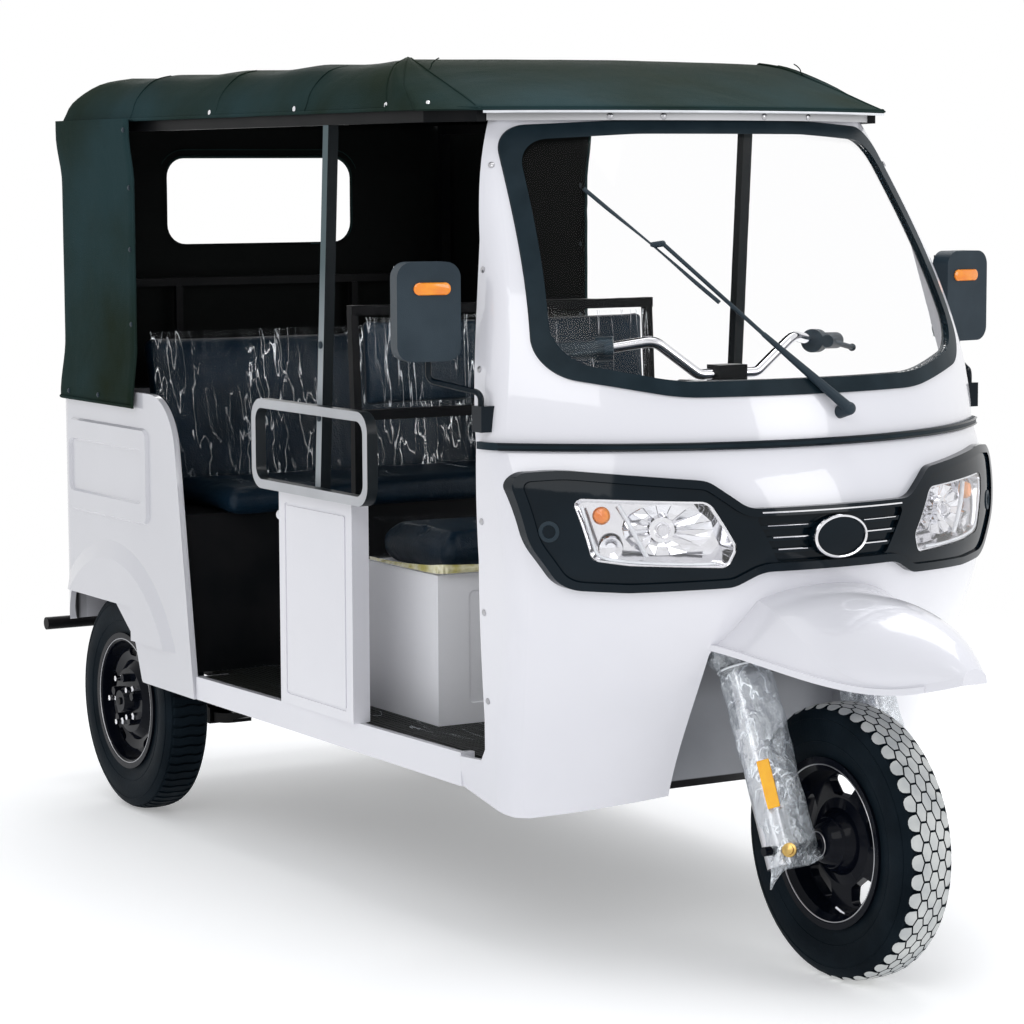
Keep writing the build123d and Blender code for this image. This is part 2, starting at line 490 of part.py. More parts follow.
def build_hood():
    back = WHEELBASE + HOOD_BACK
    half = BODY_HALF_WIDTH - 6
    # height, nose, front corner, shoulder where the straight side begins, back, rear corner radius
    rows = ((VALANCE_Z, 410, (half - 68, 540), (half, 672), back, 70),
            (1716, 560, (half - 82, 690), (half - 16, 770), back - 22, 74),
            (1760, 712, (half - 98, 836), (half - 60, 876), back - 82, 80),
            (ROOF_Z, 800, (half - 120, 915), (half - 116, 925), back - 150, 80))
    roof = loft([hood_plan(*row) for row in rows])
    roof_inner = loft([hood_plan(z - (HOOD_THICK if z > VALANCE_Z else 10), *row, HOOD_THICK)
                       for z, *row in rows])
    PARTS["hood"] = roof - roof_inner

    # the curtain, with an inward ledge under the roof's hem, sewn from six panels
    curtain_back = WHEELBASE + BODY_BACK + SEAT_GAP + HOOD_THICK
    hung_z = VALANCE_Z - SEAT_GAP
    plan = (FLAP_BOTTOM_Z, 410, (HOOD_HALF_WIDTH - 80, 540), (HOOD_HALF_WIDTH, 672), curtain_back, 60)
    ledge = HOOD_HALF_WIDTH - half + 6
    curtain = extrude(hood_plan(*plan), amount=hung_z - FLAP_BOTTOM_Z)
    curtain -= extrude(hood_plan(*plan, HOOD_THICK), amount=hung_z - HOOD_THICK - FLAP_BOTTOM_Z)
    curtain -= extrude(hood_plan(*plan, ledge), amount=hung_z + 10 - FLAP_BOTTOM_Z)
    curtain -= slab((-700, 0), (0, WHEELBASE - FLAP_FRONT), (900, ROOF_Z))
    curtain -= slab((0, 700), (0, WHEELBASE - FLAP_FRONT_LEFT), (900, ROOF_Z))
    low, high = WINDOW_Z
    window = both_halves([(WINDOW_HALF, high), (WINDOW_HALF, low)])
    curtain -= front_prism(window, back - 100, back + 20, [50, 50, 50, 50])
    seam_x = BODY_HALF_WIDTH - 62
    rear = (curtain_back - 60, curtain_back + 10)
    seams = [slab((-seam_x, seam_x), rear, (z - SEAT_GAP, z)) for z in WINDOW_Z]
    seams += pair(slab((seam_x, seam_x + SEAT_GAP), rear, (900, ROOF_Z)))
    PARTS["hood_curtain"] = curtain - seams

    tube = FRAME_TUBE
    rail_z = VALANCE_Z - tube
    rail = slab((FRAME_X, FRAME_X + tube), (690, back - 40), (rail_z, rail_z + tube))
    arm_front, arm_back = HEADER_BACK_Y + SEAT_GAP, 690 - SEAT_GAP
    arm = Polyline((FRAME_X, arm_back), (FRAME_X + tube, arm_back), (FRAME_X - 26, arm_front),
                   (FRAME_X - 46, arm_front), close=True)
    arm = Pos(0, 0, rail_z) * extrude(make_face(arm), amount=tube)
    post = slab((FRAME_X, FRAME_X + tube), (back - 40 - tube, back - 40), (DECK_Z + 1, rail_z - SEAT_GAP))
    bows = []
    for y in (950, 1290, 1660, WHEELBASE - FLAP_FRONT, WHEELBASE + 130):
        outline = both_halves([(FRAME_X - 92, ROOF_Z - 12), (FRAME_X, 1712), (FRAME_X + 22, VALANCE_Z + SEAT_GAP)])
        inside = both_halves([(FRAME_X - 100, ROOF_Z - 26), (FRAME_X - 13, 1706),
                              (FRAME_X + 8, VALANCE_Z + SEAT_GAP)])
        bows.append(front_prism(outline, y - 10, y + 10) - front_prism(inside, y - 20, y + 20))

    bar_x = FRAME_X - SEAT_GAP
    crossbar = [slab((-bar_x, bar_x), (back - 62, back - 42), (CROSSBAR_Z, CROSSBAR_Z + 20))]
    crossbar += [slab((x - 9, x + 9), (back - 60, back - 44), (DECK_Z + 1, CROSSBAR_Z - SEAT_GAP))
                 for x in (-250, 250)]
    PARTS["hood_frame"] = (pair(rail) + pair(arm) + pair(post)) + bows + crossbar

    lean = 55
    base_z = PILLAR_BOX_TOP_Z
    pillar = side_prism([(PILLAR_Y + 18, base_z), (PILLAR_Y + 42, base_z),
                         (PILLAR_Y + 42 - lean, rail_z), (PILLAR_Y + 18 - lean, rail_z)],
                        FRAME_X + 4, FRAME_X + 28)
    PARTS["side_pillars"] = pair(pillar)
    low, high = PILLAR_BOX_Y
    outer_x = FRAME_X + 28
    box = slab((outer_x - 40, outer_x), (low, high), (SILL_TOP_Z + SEAT_GAP, base_z))
    outside = Plane(origin=(outer_x + 1, 0, 0), x_dir=(0, 1, 0), z_dir=(-1, 0, 0))
    groove = RectangleRounded(high - low - 56, 420, 8) - RectangleRounded(high - low - 68, 408, 5)
    box -= extrude(outside * (Pos((low + high) / 2, -(SILL_TOP_Z + base_z) / 2) * groove), amount=3.5)
    knob_x, knob_z = outer_x - 20, 800
    box += rod((knob_x, high, knob_z), (knob_x, high + 24, knob_z), 8) + Pos(knob_x, high + 26, knob_z) * Sphere(13)
    PARTS["pillar_boxes"] = pair(box)
    hoop = side_prism([(884, 860), (1420, 860), (1420, 1056), (884, 1056)], outer_x + SEAT_GAP, outer_x + 25, 44)
    hoop -= side_prism([(904, 880), (1400, 880), (1400, 1036), (904, 1036)], outer_x - 10, outer_x + 50, 28)
    PARTS["grab_hoops"] = pair(hoop)


# ---------------------------------------------------------------- mirrors, wiper, lamps, bumper
def wiper():
    """Parked wiper: a spindle, an arm that thins towards its clip, and the blade lying on the pane."""
    # name: x, height, distance in front of the cab's surface, radius
    spots = {"spindle": (53, 1078, -10, 13), "root": (58, 1090, 31, 11), "knee": (-99, 1234, 20, 5),
             "clip": (-242, 1407, 15, 4), "blade low": (-168, 1295, 9, 4), "blade high": (-344, 1512, 9, 4)}
    at = {name: Vector(*screen_point(x, z, out)) for name, (x, z, out, _) in spots.items()}
    radius = {name: spot[3] for name, spot in spots.items()}
    made = rod(at["spindle"], at["root"], radius["spindle"]) + Pos(at["root"]) * Sphere(radius["spindle"])
    reach = at["knee"] - at["root"]
    made += Plane(origin=at["root"], z_dir=reach) * Cone(radius["root"], radius["knee"], reach.length, align=UPRIGHT)
    made += Pos(at["knee"]) * Sphere(radius["knee"]) + rod(at["knee"], at["clip"], radius["clip"])
    middle = (at["blade low"] + at["blade high"]) / 2
    made += rod(at["clip"], middle, radius["knee"] + 1) + Pos(at["clip"]) * Sphere(radius["knee"] + 1)
    for end in ("blade low", "blade high"):
        made += rod(middle, at[end], radius["blade low"])
    return made


def build_outside():
    yaw = 11
    housing = Pos(-650, 483, 1280) * Rot(0, 0, -yaw) * Box(128, 42, 190)
    housing = fillet(housing.edges().filter_by(lambda edge: edge.length < 43), 30)
    PARTS["mirror_housings"] = pair(housing)
    glass = Pos(-650, 483, 1280) * Rot(0, 0, -yaw) * Pos(0, 23, 0) * Box(112, 3, 172)
    PARTS["mirror_glasses"] = pair(glass)
    arm = bent_tube([(-645, 483, 1185 - SEAT_GAP), (-645, 483, 1148), (-591, 376, 1128), (-591, 376, 1100)],
                    [16, 16], 6)
    bracket = slab((-601, -560), (358, 394), (1054, 1104)) - cab_block(UPPER_SECTIONS)
    PARTS["mirror_arms"] = pair(arm + bracket)

    PARTS["wiper"] = wiper() - cab_block(UPPER_SECTIONS)

    axle = WHEELBASE
    lamp = slab((424, 500), (axle + BODY_BACK + SEAT_GAP, axle + BODY_BACK + 22), (452, 560))
    PARTS["tail_lamps"] = pair(lamp)
    bar_y = axle + REAR_OVERHANG - 16
    bumper = rod((-560, bar_y, 405), (560, bar_y, 405), 16)
    for x in (-RAIL_X, RAIL_X):
        bumper += slab((x - 15, x + 15), (axle + 300, bar_y), (395, 415))
        bumper += slab((x - 15, x + 15), (axle + 300, axle + 312), (RAIL_Z[0], 415))
    PARTS["rear_bumper"] = bumper


# ---------------------------------------------------------------- wheels and axles
def tyre(x):
    half = TYRE_WIDTH / 2
    outer = [(-46, BEAD_RADIUS), (-48, RIM_RADIUS), (-half, 208), (-half + 5, 246), (-34, TYRE_RADIUS - 3),
             (0, TYRE_RADIUS), (34, TYRE_RADIUS - 3), (half - 5, 246), (half, 208), (48, RIM_RADIUS),
             (46, BEAD_RADIUS)]
    inner = [(34, BEAD_RADIUS), (half - TYRE_WALL, 208), (30, 246), (-30, 246), (-half + TYRE_WALL, 208),
             (-34, BEAD_RADIUS)]
    face = Plane.XZ * make_face(Polyline(*outer, *inner, close=True))
    return Pos(x, 0, 0) * revolve(face, Axis.X)


def rim_barrel(disc):
    """Revolved rim: flanges and well, closed by the given disc profile of (x, radius) from well to well."""
    well = BEAD_RADIUS - 6
    barrel = [(48, well), (54, BEAD_RADIUS), (54, RIM_RADIUS), (49, RIM_RADIUS), (46.5, BEAD_RADIUS - SEAT_GAP),
              (-46.5, BEAD_RADIUS - SEAT_GAP), (-49, RIM_RADIUS), (-54, RIM_RADIUS), (-54, BEAD_RADIUS), (-48, well)]
    return revolve(Plane.XZ * make_face(Polyline(*barrel, *disc, close=True)), Axis.X)


def front_rim():
    """Cast wheel with five broad spokes round a domed hub on its right and a brake drum on its left."""
    bore = AXLE_RADIUS + SEAT_GAP
    disc = [(-40, 140), (-12, 132), (-16, 84), (-22, 62), (-46, 50), (-62, 26), (-62, bore), (44, bore),
            (44, 72), (40, 78), (8, 78), (6, 132), (34, 140)]
    body = rim_barrel(disc)
    window = make_face(FilletPolyline((-24, 88), (24, 88), (46, 116), (26, 127), (-26, 127), (-46, 116),
                                      radius=9, close=True))
    for index in range(SPOKES):
        body -= Rot(index * 360 / SPOKES, 0, 0) * (Plane.YZ.offset(-60) * extrude(window, amount=90))
    return body


def rear_rim(outward):
    """Dished steel wheel with hand holes near its rim and wheel nuts round its hub."""
    bore = AXLE_RADIUS + SEAT_GAP
    disc = [(-48, 146), (14, 142), (22, 118), (18, 96), (34, 72), (36, bore), (66, bore), (66, 26),
            (44, 34), (42, 78), (26, 98), (30, 120), (24, 142), (48, 146)]
    body = rim_barrel(disc)
    hole = SlotOverall(40, 20)
    nut = RegularPolygon(11, 6)
    for index in range(SPOKES):
        turn = Rot(index * 360 / SPOKES, 0, 0)
        body -= turn * (Plane.YZ.offset(-10) * (Pos(0, 118) * extrude(hole, amount=60)))
        body += turn * (Plane.YZ.offset(40) * (Pos(0, 56) * extrude(nut, amount=20)))
    return body if outward > 0 else mirror(body, Plane.YZ)


def build_wheels():
    at_front = Pos(0, 0, TYRE_RADIUS)
    PARTS["front_tyre"] = at_front * tyre(0)
    PARTS["front_rim"] = at_front * front_rim()
    half = REAR_TRACK / 2
    at_rear = Pos(0, WHEELBASE, TYRE_RADIUS)
    for name, side in (("right", -1), ("left", 1)):
        PARTS[f"rear_tyre_{name}"] = at_rear * tyre(side * half)
        PARTS[f"rear_rim_{name}"] = at_rear * (Pos(side * half, 0, 0) * rear_rim(side))


def leaf_spring():
    """The left spring: a stack of bowed leaves under the axle tube, its clamp, and the hangers at its two eyes."""
    seat_z = TYRE_RADIUS - AXLE_TUBE_RADIUS - SEAT_GAP
    hang_z = RAIL_Z[0] - SEAT_GAP
    eye_z = hang_z - 22
    stack = slab((RAIL_X - 30, RAIL_X + 30), (WHEELBASE - 45, WHEELBASE + 45), (seat_z - 40, seat_z))
    for number, reach in enumerate((330, 250, 165)):
        drop = seat_z - 12 - number * LEAF_THICK
        rise = (eye_z - seat_z + 12) * (reach / 330) ** 2
        upper = ThreePointArc((-reach, drop + rise), (0, drop), (reach, drop + rise))
        under = drop - LEAF_THICK
        lower = ThreePointArc((-reach, under + rise), (0, under), (reach, under + rise))
        ends = [Line((side * reach, drop + rise), (side * reach, under + rise)) for side in (-1, 1)]
        plane = Plane(origin=(RAIL_X - 25, WHEELBASE, 0), x_dir=(0, 1, 0), z_dir=(1, 0, 0))
        stack += extrude(plane * make_face([upper, lower, *ends]), amount=50)
    for side in (-1, 1):
        y = WHEELBASE + side * 326
        stack += rod((RAIL_X - 27, y, eye_z - 4), (RAIL_X + 27, y, eye_z - 4), 15)
        stack += slab((RAIL_X - 33, RAIL_X + 33), (y - 12, y + 12), (eye_z, hang_z))
    return stack


def build_rear_axle():
    half = REAR_TRACK / 2
    centre = (WHEELBASE, TYRE_RADIUS)
    tube_end = half - 46
    axle = rod((-tube_end, *centre), (tube_end, *centre), AXLE_TUBE_RADIUS)
    axle += rod((-half - 70, *centre), (half + 70, *centre), AXLE_RADIUS)
    axle += rod((-70, *centre), (70, *centre), 92)
    for side in (-1, 1):
        axle += rod((side * (tube_end - 8), *centre), (side * tube_end, *centre), 88)
    nose_y = WHEELBASE - MOTOR_AHEAD
    PARTS["rear_axle"] = axle + rod((0, WHEELBASE, TYRE_RADIUS), (0, nose_y, TYRE_RADIUS), 70)
    PARTS["drive_motor"] = rod((0, nose_y - SEAT_GAP, TYRE_RADIUS), (0, nose_y - 230, TYRE_RADIUS), 82)
    PARTS["leaf_springs"] = pair(leaf_spring())


# ---------------------------------------------------------------- steering
def build_steering():
    def on_axis(z, x=0.0):
        y, height = axis_point(z)
        return (x, y, height)

    yoke_low, yoke_high = 584, 618
    legs = None
    for side in (-1, 1):
        x = side * FORK_HALF_SPACING
        leg = rod(on_axis(232, x), on_axis(480, x), FORK_LEG_RADIUS)
        leg += rod(on_axis(480, x), on_axis(yoke_low, x), STANCHION_RADIUS)
        leg -= rod((x - 60, 0, TYRE_RADIUS), (x + 60, 0, TYRE_RADIUS), AXLE_RADIUS + 0.2)
        legs = leg if legs is None else legs + leg
    PARTS["fork_legs"] = legs

    up_axis = Vector(0, sin(radians(RAKE)), cos(radians(RAKE)))
    lower = Plane(origin=on_axis(yoke_low), z_dir=up_axis, x_dir=(1, 0, 0))
    yoke = lower * (Pos(0, 0, 15) * Box(2 * FORK_HALF_SPACING + 48, 56, 30))
    yoke = fillet(yoke.edges().filter_by(lambda edge: 29 < edge.length < 31), 20)
    stem = rod(on_axis(yoke_high - 10), on_axis(1130), STEM_RADIUS)
    stem_and_yoke = yoke + stem
    axle_half = FORK_HALF_SPACING + 48
    PARTS["front_axle"] = rod((-axle_half, 0, TYRE_RADIUS), (axle_half, 0, TYRE_RADIUS), AXLE_RADIUS)

    clamp_y = axis_point(1124)[0]
    points = [(-345, clamp_y + 118, 1192), (-262, clamp_y + 60, 1196), (-168, clamp_y + 12, 1212),
              (-70, clamp_y, 1142), (70, clamp_y, 1142), (168, clamp_y + 12, 1212),
              (262, clamp_y + 60, 1196), (345, clamp_y + 118, 1192)]
    bar = bent_tube(points, [30, 40, 34, 34, 40, 30], 11)
    PARTS["handlebar"] = bar
    clamp = slab((-34, 34), (clamp_y - 20, clamp_y + 24), (1122, 1160))
    PARTS["fork_yoke"] = stem_and_yoke + clamp - bar
    PARTS["handlebar_controls"] = pair(control_set(clamp_y)) - bar


def control_set(clamp_y):
    """Left grip with its switch housing, and the lever on its perch."""
    inner, outer = Vector(270, clamp_y + 66, 1196), Vector(345, clamp_y + 118, 1192)
    along = (outer - inner).normalized()
    ahead = Vector(along.Y, -along.X, 0)
    made = rod(inner, outer + along * 30, 17) + rod(inner - along * 34, inner, 24)
    perch = inner - along * 22 + ahead * 34
    made += rod(inner - along * 22, perch, 11) + rod(perch - along * 14, perch + along * 4, 13)
    tip = perch + along * 130 + ahead * 6 - Vector(0, 0, 14)
    return made + rod(perch, tip, 5.5) + Pos(tip) * Sphere(8)


build_cab()
build_front_lamps()
build_mudguard()
build_cab_inside()
build_floor()
build_rear_body()
build_hood()
build_outside()
build_wheels()
build_rear_axle()
build_steering()

os.makedirs("parts", exist_ok=True)
for name, shape in PARTS.items():
    export_step(Pos(0, FRONT_AXLE_Y, 0) * shape, f"parts/{name}.step")
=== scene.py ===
import json
import math

import bmesh
import bpy
from mathutils import Matrix, Vector, noise


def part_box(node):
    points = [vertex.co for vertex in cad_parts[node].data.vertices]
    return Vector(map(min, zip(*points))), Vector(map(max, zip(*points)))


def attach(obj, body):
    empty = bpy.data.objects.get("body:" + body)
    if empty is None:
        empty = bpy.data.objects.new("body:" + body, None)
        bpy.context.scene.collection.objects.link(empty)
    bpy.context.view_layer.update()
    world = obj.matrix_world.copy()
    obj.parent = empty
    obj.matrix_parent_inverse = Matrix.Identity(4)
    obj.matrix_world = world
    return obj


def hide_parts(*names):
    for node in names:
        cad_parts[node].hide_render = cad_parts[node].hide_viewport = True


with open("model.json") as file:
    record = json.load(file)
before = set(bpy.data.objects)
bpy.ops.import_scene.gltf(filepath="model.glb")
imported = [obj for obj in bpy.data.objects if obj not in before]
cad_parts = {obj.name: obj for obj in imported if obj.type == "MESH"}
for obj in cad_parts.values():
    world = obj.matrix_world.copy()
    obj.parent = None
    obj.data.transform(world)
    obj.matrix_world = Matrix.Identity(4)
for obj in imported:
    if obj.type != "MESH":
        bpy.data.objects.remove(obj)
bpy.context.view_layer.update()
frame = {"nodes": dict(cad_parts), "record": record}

# ---------------------------------------------------------------- driving dimensions, metres
axle_low, axle_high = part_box("front_axle")
FRONT_AXLE_Y = axle_low.y + (axle_high.y - axle_low.y) / 2
REAR_AXLE_Y = FRONT_AXLE_Y + 2.2
REAR_WHEEL_X = 0.483
TYRE_RADIUS = 0.267
BENCH_LEAN = math.radians(11.1)
DRIVER_LEAN = math.radians(3.9)

CAMERA_PLACE = (-3.541, FRONT_AXLE_Y - 4.678, 1.545)
CAMERA_HEADING = math.radians(30.84)
CAMERA_DOWN = math.radians(6.28)
CAMERA_ROLL = math.radians(-0.23)
CAMERA_LENS = 108.7


# ---------------------------------------------------------------- materials
def principled(name, color, roughness, metallic=0.0, **sockets):
    """New material with one Principled shader; sockets are named with underscores for spaces."""
    made = bpy.data.materials.new(name)
    made.use_nodes = True
    shader = made.node_tree.nodes["Principled BSDF"]
    shader.inputs["Base Color"].default_value = (*color, 1)
    shader.inputs["Roughness"].default_value = roughness
    shader.inputs["Metallic"].default_value = metallic
    for key, value in sockets.items():
        shader.inputs[key.replace("_", " ")].default_value = value
    return made


def node(made, kind, **settings):
    """Add a shader node; settings are its properties or, where it has such a socket, its inputs."""
    added = made.node_tree.nodes.new(kind)
    for key, value in settings.items():
        if key in added.inputs:
            added.inputs[key].default_value = value
        else:
            setattr(added, key, value)
    return added


def link(made, source, target):
    made.node_tree.links.new(source, target)


def place(made, stretch=(1, 1, 1)):
    """Object coordinates, stretched along each axis."""
    mapping = node(made, "ShaderNodeMapping", Scale=stretch)
    link(made, node(made, "ShaderNodeTexCoord").outputs["Object"], mapping.inputs["Vector"])
    return mapping.outputs["Vector"]


# node, its output and its settings
TEXTURES = {"noise": ("ShaderNodeTexNoise", "Fac", {"Detail": 6.0}),
            "crease": ("ShaderNodeTexNoise", "Fac", {"Detail": 6.0, "Distortion": 0.6}),
            "wave": ("ShaderNodeTexWave", "Fac", {}),
            "voronoi": ("ShaderNodeTexVoronoi", "Distance", {})}


def relief(made, *layers, socket="Normal"):
    """Bump from layers of (texture, scale, distance and, if any, stretch), chained into a normal socket."""
    previous = None
    for texture, scale, distance, *stretch in layers:
        kind, output, settings = TEXTURES[texture]
        pattern = node(made, kind, Scale=scale, **settings)
        link(made, place(made, *stretch), pattern.inputs["Vector"])
        bump = node(made, "ShaderNodeBump", Distance=distance, Strength=1.0)
        link(made, pattern.outputs[output], bump.inputs["Height"])
        if previous:
            link(made, previous, bump.inputs["Normal"])
        previous = bump.outputs["Normal"]
    link(made, previous, made.node_tree.nodes["Principled BSDF"].inputs[socket])
    if "glossy" in made:
        link(made, previous, made.node_tree.nodes[made["glossy"]].inputs["Normal"])


def blend(made, other, share):
    """Mix the base colour with another one by a share, a socket that runs from 0 to 1."""
    held = made.node_tree.nodes["Principled BSDF"].inputs["Base Color"]
    mix = node(made, "ShaderNodeMixRGB", Color1=held.default_value, Color2=(*other, 1))
    if held.is_linked:
        link(made, held.links[0].from_socket, mix.inputs["Color1"])
    link(made, share, mix.inputs["Fac"])
    link(made, mix.outputs["Color"], held)
    return made


def remap(made, source, low, high, start=0.0, end=1.0):
    """Turn a value's range from low to high into one from start to end."""
    ramp = node(made, "ShaderNodeMapRange")
    for socket, value in (("From Min", low), ("From Max", high), ("To Min", start), ("To Max", end)):
        ramp.inputs[socket].default_value = value
    link(made, source, ramp.inputs["Value"])
    return ramp.outputs["Result"]


def math_node(made, operation, *sources, **settings):
    """A math node fed by sockets or numbers."""
    added = node(made, "ShaderNodeMath", operation=operation, **settings)
    for index, source in enumerate(sources):
        if isinstance(source, (int, float)):
            added.inputs[index].default_value = source
        else:
            link(made, source, added.inputs[index])
    return added.outputs["Value"]


def cloud(made, scale, stretch=(1, 1, 1), detail=5.0, distortion=0.0):
    """A noise's value over stretched object coordinates."""
    added = node(made, "ShaderNodeTexNoise", Scale=scale, Detail=detail, Distortion=distortion)
    link(made, place(made, stretch), added.inputs["Vector"])
    return added.outputs["Fac"]


def mottle(made, other, scale):
    """Blend the base colour towards another one in soft patches."""
    return blend(made, other, remap(made, cloud(made, scale), 0.35, 0.7))


def rising(made, other, low, high):
    """Blend the base colour into another one between two heights."""
    split = node(made, "ShaderNodeSeparateXYZ")
    link(made, place(made), split.inputs["Vector"])
    return blend(made, other, remap(made, split.outputs["Z"], low, high))


def outward(made, other, low=0.12, high=0.34):
    """Painted shade: blend the base colour into another one on faces that don't look away from the vehicle's
    middle plane.

    low and high bound the change: the distance from that plane times the normal's part along it."""
    where, facing = node(made, "ShaderNodeSeparateXYZ"), node(made, "ShaderNodeSeparateXYZ")
    link(made, place(made), where.inputs["Vector"])
    link(made, node(made, "ShaderNodeTexCoord").outputs["Normal"], facing.inputs["Vector"])
    product = math_node(made, "MULTIPLY", where.outputs["X"], facing.outputs["X"])
    return blend(made, other, remap(made, product, low, high, 1.0, 0.0))


def mixed(made, share, first, second):
    """Mix two shaders by a share, a number or a socket."""
    mix = node(made, "ShaderNodeMixShader")
    if isinstance(share, float):
        mix.inputs["Fac"].default_value = share
    else:
        link(made, share, mix.inputs["Fac"])
    link(made, first, mix.inputs[1])
    link(made, second, mix.inputs[2])
    return mix.outputs["Shader"]


def cellophane(name, haze, creases, patches):
    """Thin clear film: see-through but for a faint haze and bright thin creases along a noise's contours; the
    creases have real gloss and a whitish base colour, a painted highlight.

    creases are the noise's scale, its stretch, its distortion and the lines' width; patches the scale, the
    stretch and the range of the noise that says where they show."""
    made = MATERIALS[name] = principled(name, (0.86, 0.93, 1.0), 0.2, Specular_IOR_Level=0.8)
    scale, stretch, distortion, width = creases
    contour = math_node(made, "SUBTRACT", cloud(made, scale, stretch, 2.0, distortion), 0.5)
    line = remap(made, math_node(made, "ABSOLUTE", contour), 0.0, width, 1.0, 0.0)
    scale, stretch, low, high = patches
    patch = remap(made, cloud(made, scale, stretch, 2.0), low, high, 0.0, 0.75)
    body = math_node(made, "ADD", math_node(made, "MULTIPLY", line, patch), haze, use_clamp=True)
    through = node(made, "ShaderNodeBsdfTransparent", Color=(0.985, 0.99, 0.99, 1))
    glossy = node(made, "ShaderNodeBsdfGlossy", Color=(0.92, 0.96, 1, 1), Roughness=0.08)
    made["glossy"] = glossy.name
    nodes = made.node_tree.nodes
    both = mixed(made, 0.55, nodes["Principled BSDF"].outputs["BSDF"], glossy.outputs["BSDF"])
    link(made, mixed(made, body, through.outputs["BSDF"], both), nodes["Material Output"].inputs["Surface"])


def clear(name, tint, roughness, ior=1.45):
    """Clear sheet that lets light through to what is behind it."""
    made = MATERIALS[name] = principled(name, tint, roughness, IOR=ior, Transmission_Weight=1.0)
    nodes = made.node_tree.nodes
    through = node(made, "ShaderNodeBsdfTransparent", Color=(*[0.9 * part for part in tint], 1))
    in_shadow = node(made, "ShaderNodeLightPath").outputs["Is Shadow Ray"]
    both = mixed(made, in_shadow, nodes["Principled BSDF"].outputs["BSDF"], through.outputs["BSDF"])
    link(made, both, nodes["Material Output"].inputs["Surface"])


MATERIALS = {}


def paint(name, color, roughness, patches=None, scale=1.0, metallic=0.0, **sockets):
    """New material of the table, mottled with another colour where one is given."""
    made = MATERIALS[name] = principled(name, color, roughness, metallic, **sockets)
    return mottle(made, patches, scale) if patches else made


COATED = {"Coat_Weight": 1.0, "Coat_Roughness": 0.04}
# name, colour, roughness, colour and scale of the patches, metallic; the first row is a whiter copy of the
# white paint, painted light on the driver's seat box in the cab's shade
for row in (("box_white", (0.93, 0.93, 0.96), 0.4, (0.87, 0.87, 0.9), 3.0),
            ("battery_case", (0.028, 0.03, 0.034), 0.55, (0.045, 0.045, 0.05), 7.0),
            ("lamp_chrome", (0.86, 0.86, 0.88), 0.07, (0.74, 0.74, 0.77), 12.0, 1.0),
            ("mirror_silver", (0.9, 0.91, 0.93), 0.02, (0.86, 0.87, 0.9), 3.0, 1.0),
            ("fork_silver", (0.66, 0.66, 0.69), 0.24, (0.5, 0.5, 0.53), 10.0, 1.0),
            ("bar_chrome", (0.82, 0.82, 0.84), 0.08, (0.7, 0.7, 0.74), 10.0, 1.0),
            ("axle_steel", (0.5, 0.5, 0.52), 0.3, (0.36, 0.36, 0.38), 14.0, 1.0),
            ("motor_alloy", (0.26, 0.265, 0.28), 0.45, (0.18, 0.18, 0.19), 12.0, 1.0),
            ("brass", (0.62, 0.42, 0.14), 0.3, (0.4, 0.26, 0.09), 90.0, 1.0)):
    paint(*row)
# name, colour, roughness, colour and scale of the patches, specular level
for *row, specular in (("black_frame", (0.005, 0.006, 0.007), 0.36, (0.010, 0.010, 0.011), 9.0, 0.06),
                       ("seal_rubber", (0.007, 0.015, 0.021), 0.38, (0.013, 0.024, 0.032), 14.0, 0.08),
                       ("gloss_black", (0.002, 0.006, 0.010), 0.07, (0.004, 0.010, 0.016), 5.0, 0.15),
                       ("wheel_black", (0.002, 0.003, 0.006), 0.10, (0.004, 0.005, 0.009), 8.0, 0.09),
                       ("tyre_rubber", (0.003, 0.006, 0.009), 0.5, (0.007, 0.012, 0.017), 10.0, 0.03),
                       ("dark_plastic", (0.013, 0.025, 0.036), 0.45, (0.022, 0.037, 0.050), 11.0, 0.25)):
    paint(*row, Specular_IOR_Level=specular)
# name, colour, roughness, colour and scale of the patches, coat
for *row, coat in (("lamp_red", (0.42, 0.008, 0.008), 0.1, (0.3, 0.004, 0.004), 16.0, 1.0),
                   ("orange_lens", (0.95, 0.31, 0.006), 0.2, (0.85, 0.19, 0.006), 30.0, 0.5),
                   ("reflector_yellow", (1.0, 0.50, 0.006), 0.25, (0.95, 0.42, 0.005), 40.0, 0.5),
                   ("border_white", (0.82, 0.84, 0.88), 0.2, (0.7, 0.72, 0.76), 20.0, 0.8),
                   ("yellow_hem", (0.5, 0.44, 0.12), 0.25, (0.9, 0.88, 0.7), 30.0, 1.0)):
    paint(*row, Coat_Weight=coat)
paint("white_paint", (0.79, 0.785, 0.83), 0.28, (0.72, 0.72, 0.77), 1.6, **COATED)
# The rear side panels' white: a darker copy of the white paint, painted shade where the light falls off towards
# the rear, and near black on faces turned inwards, painted shade.
outward(paint("panel_white", (0.64, 0.64, 0.68), 0.28, (0.58, 0.58, 0.62), 1.6, **COATED),
        (0.01, 0.01, 0.012), -0.28, -0.14)
# The cab header's white: a greyer copy of the white paint that darkens towards its top, the painted shadow of
# the hood's hem.
rising(paint("header_paint", (0.66, 0.66, 0.68), 0.35), (0.34, 0.34, 0.35), 1.640, 1.664)
# Hood cloth: darker towards the flat roof, painted shade; olive patches at random.
mottle(rising(paint("hood_cloth", (0.022, 0.045, 0.049), 0.55, Specular_IOR_Level=0.006),
              (0.007, 0.013, 0.010), 1.70, 1.775), (0.013, 0.020, 0.011), 2.2)
paint("hood_lining", (0.004, 0.005, 0.005), 0.7, Specular_IOR_Level=0.1)
# The hoop's grey: near black on faces turned inwards, painted shade.
outward(paint("grey_tube", (0.47, 0.48, 0.50), 0.35, (0.39, 0.40, 0.42), 6.0, Specular_IOR_Level=0.3),
        (0.014, 0.018, 0.021))
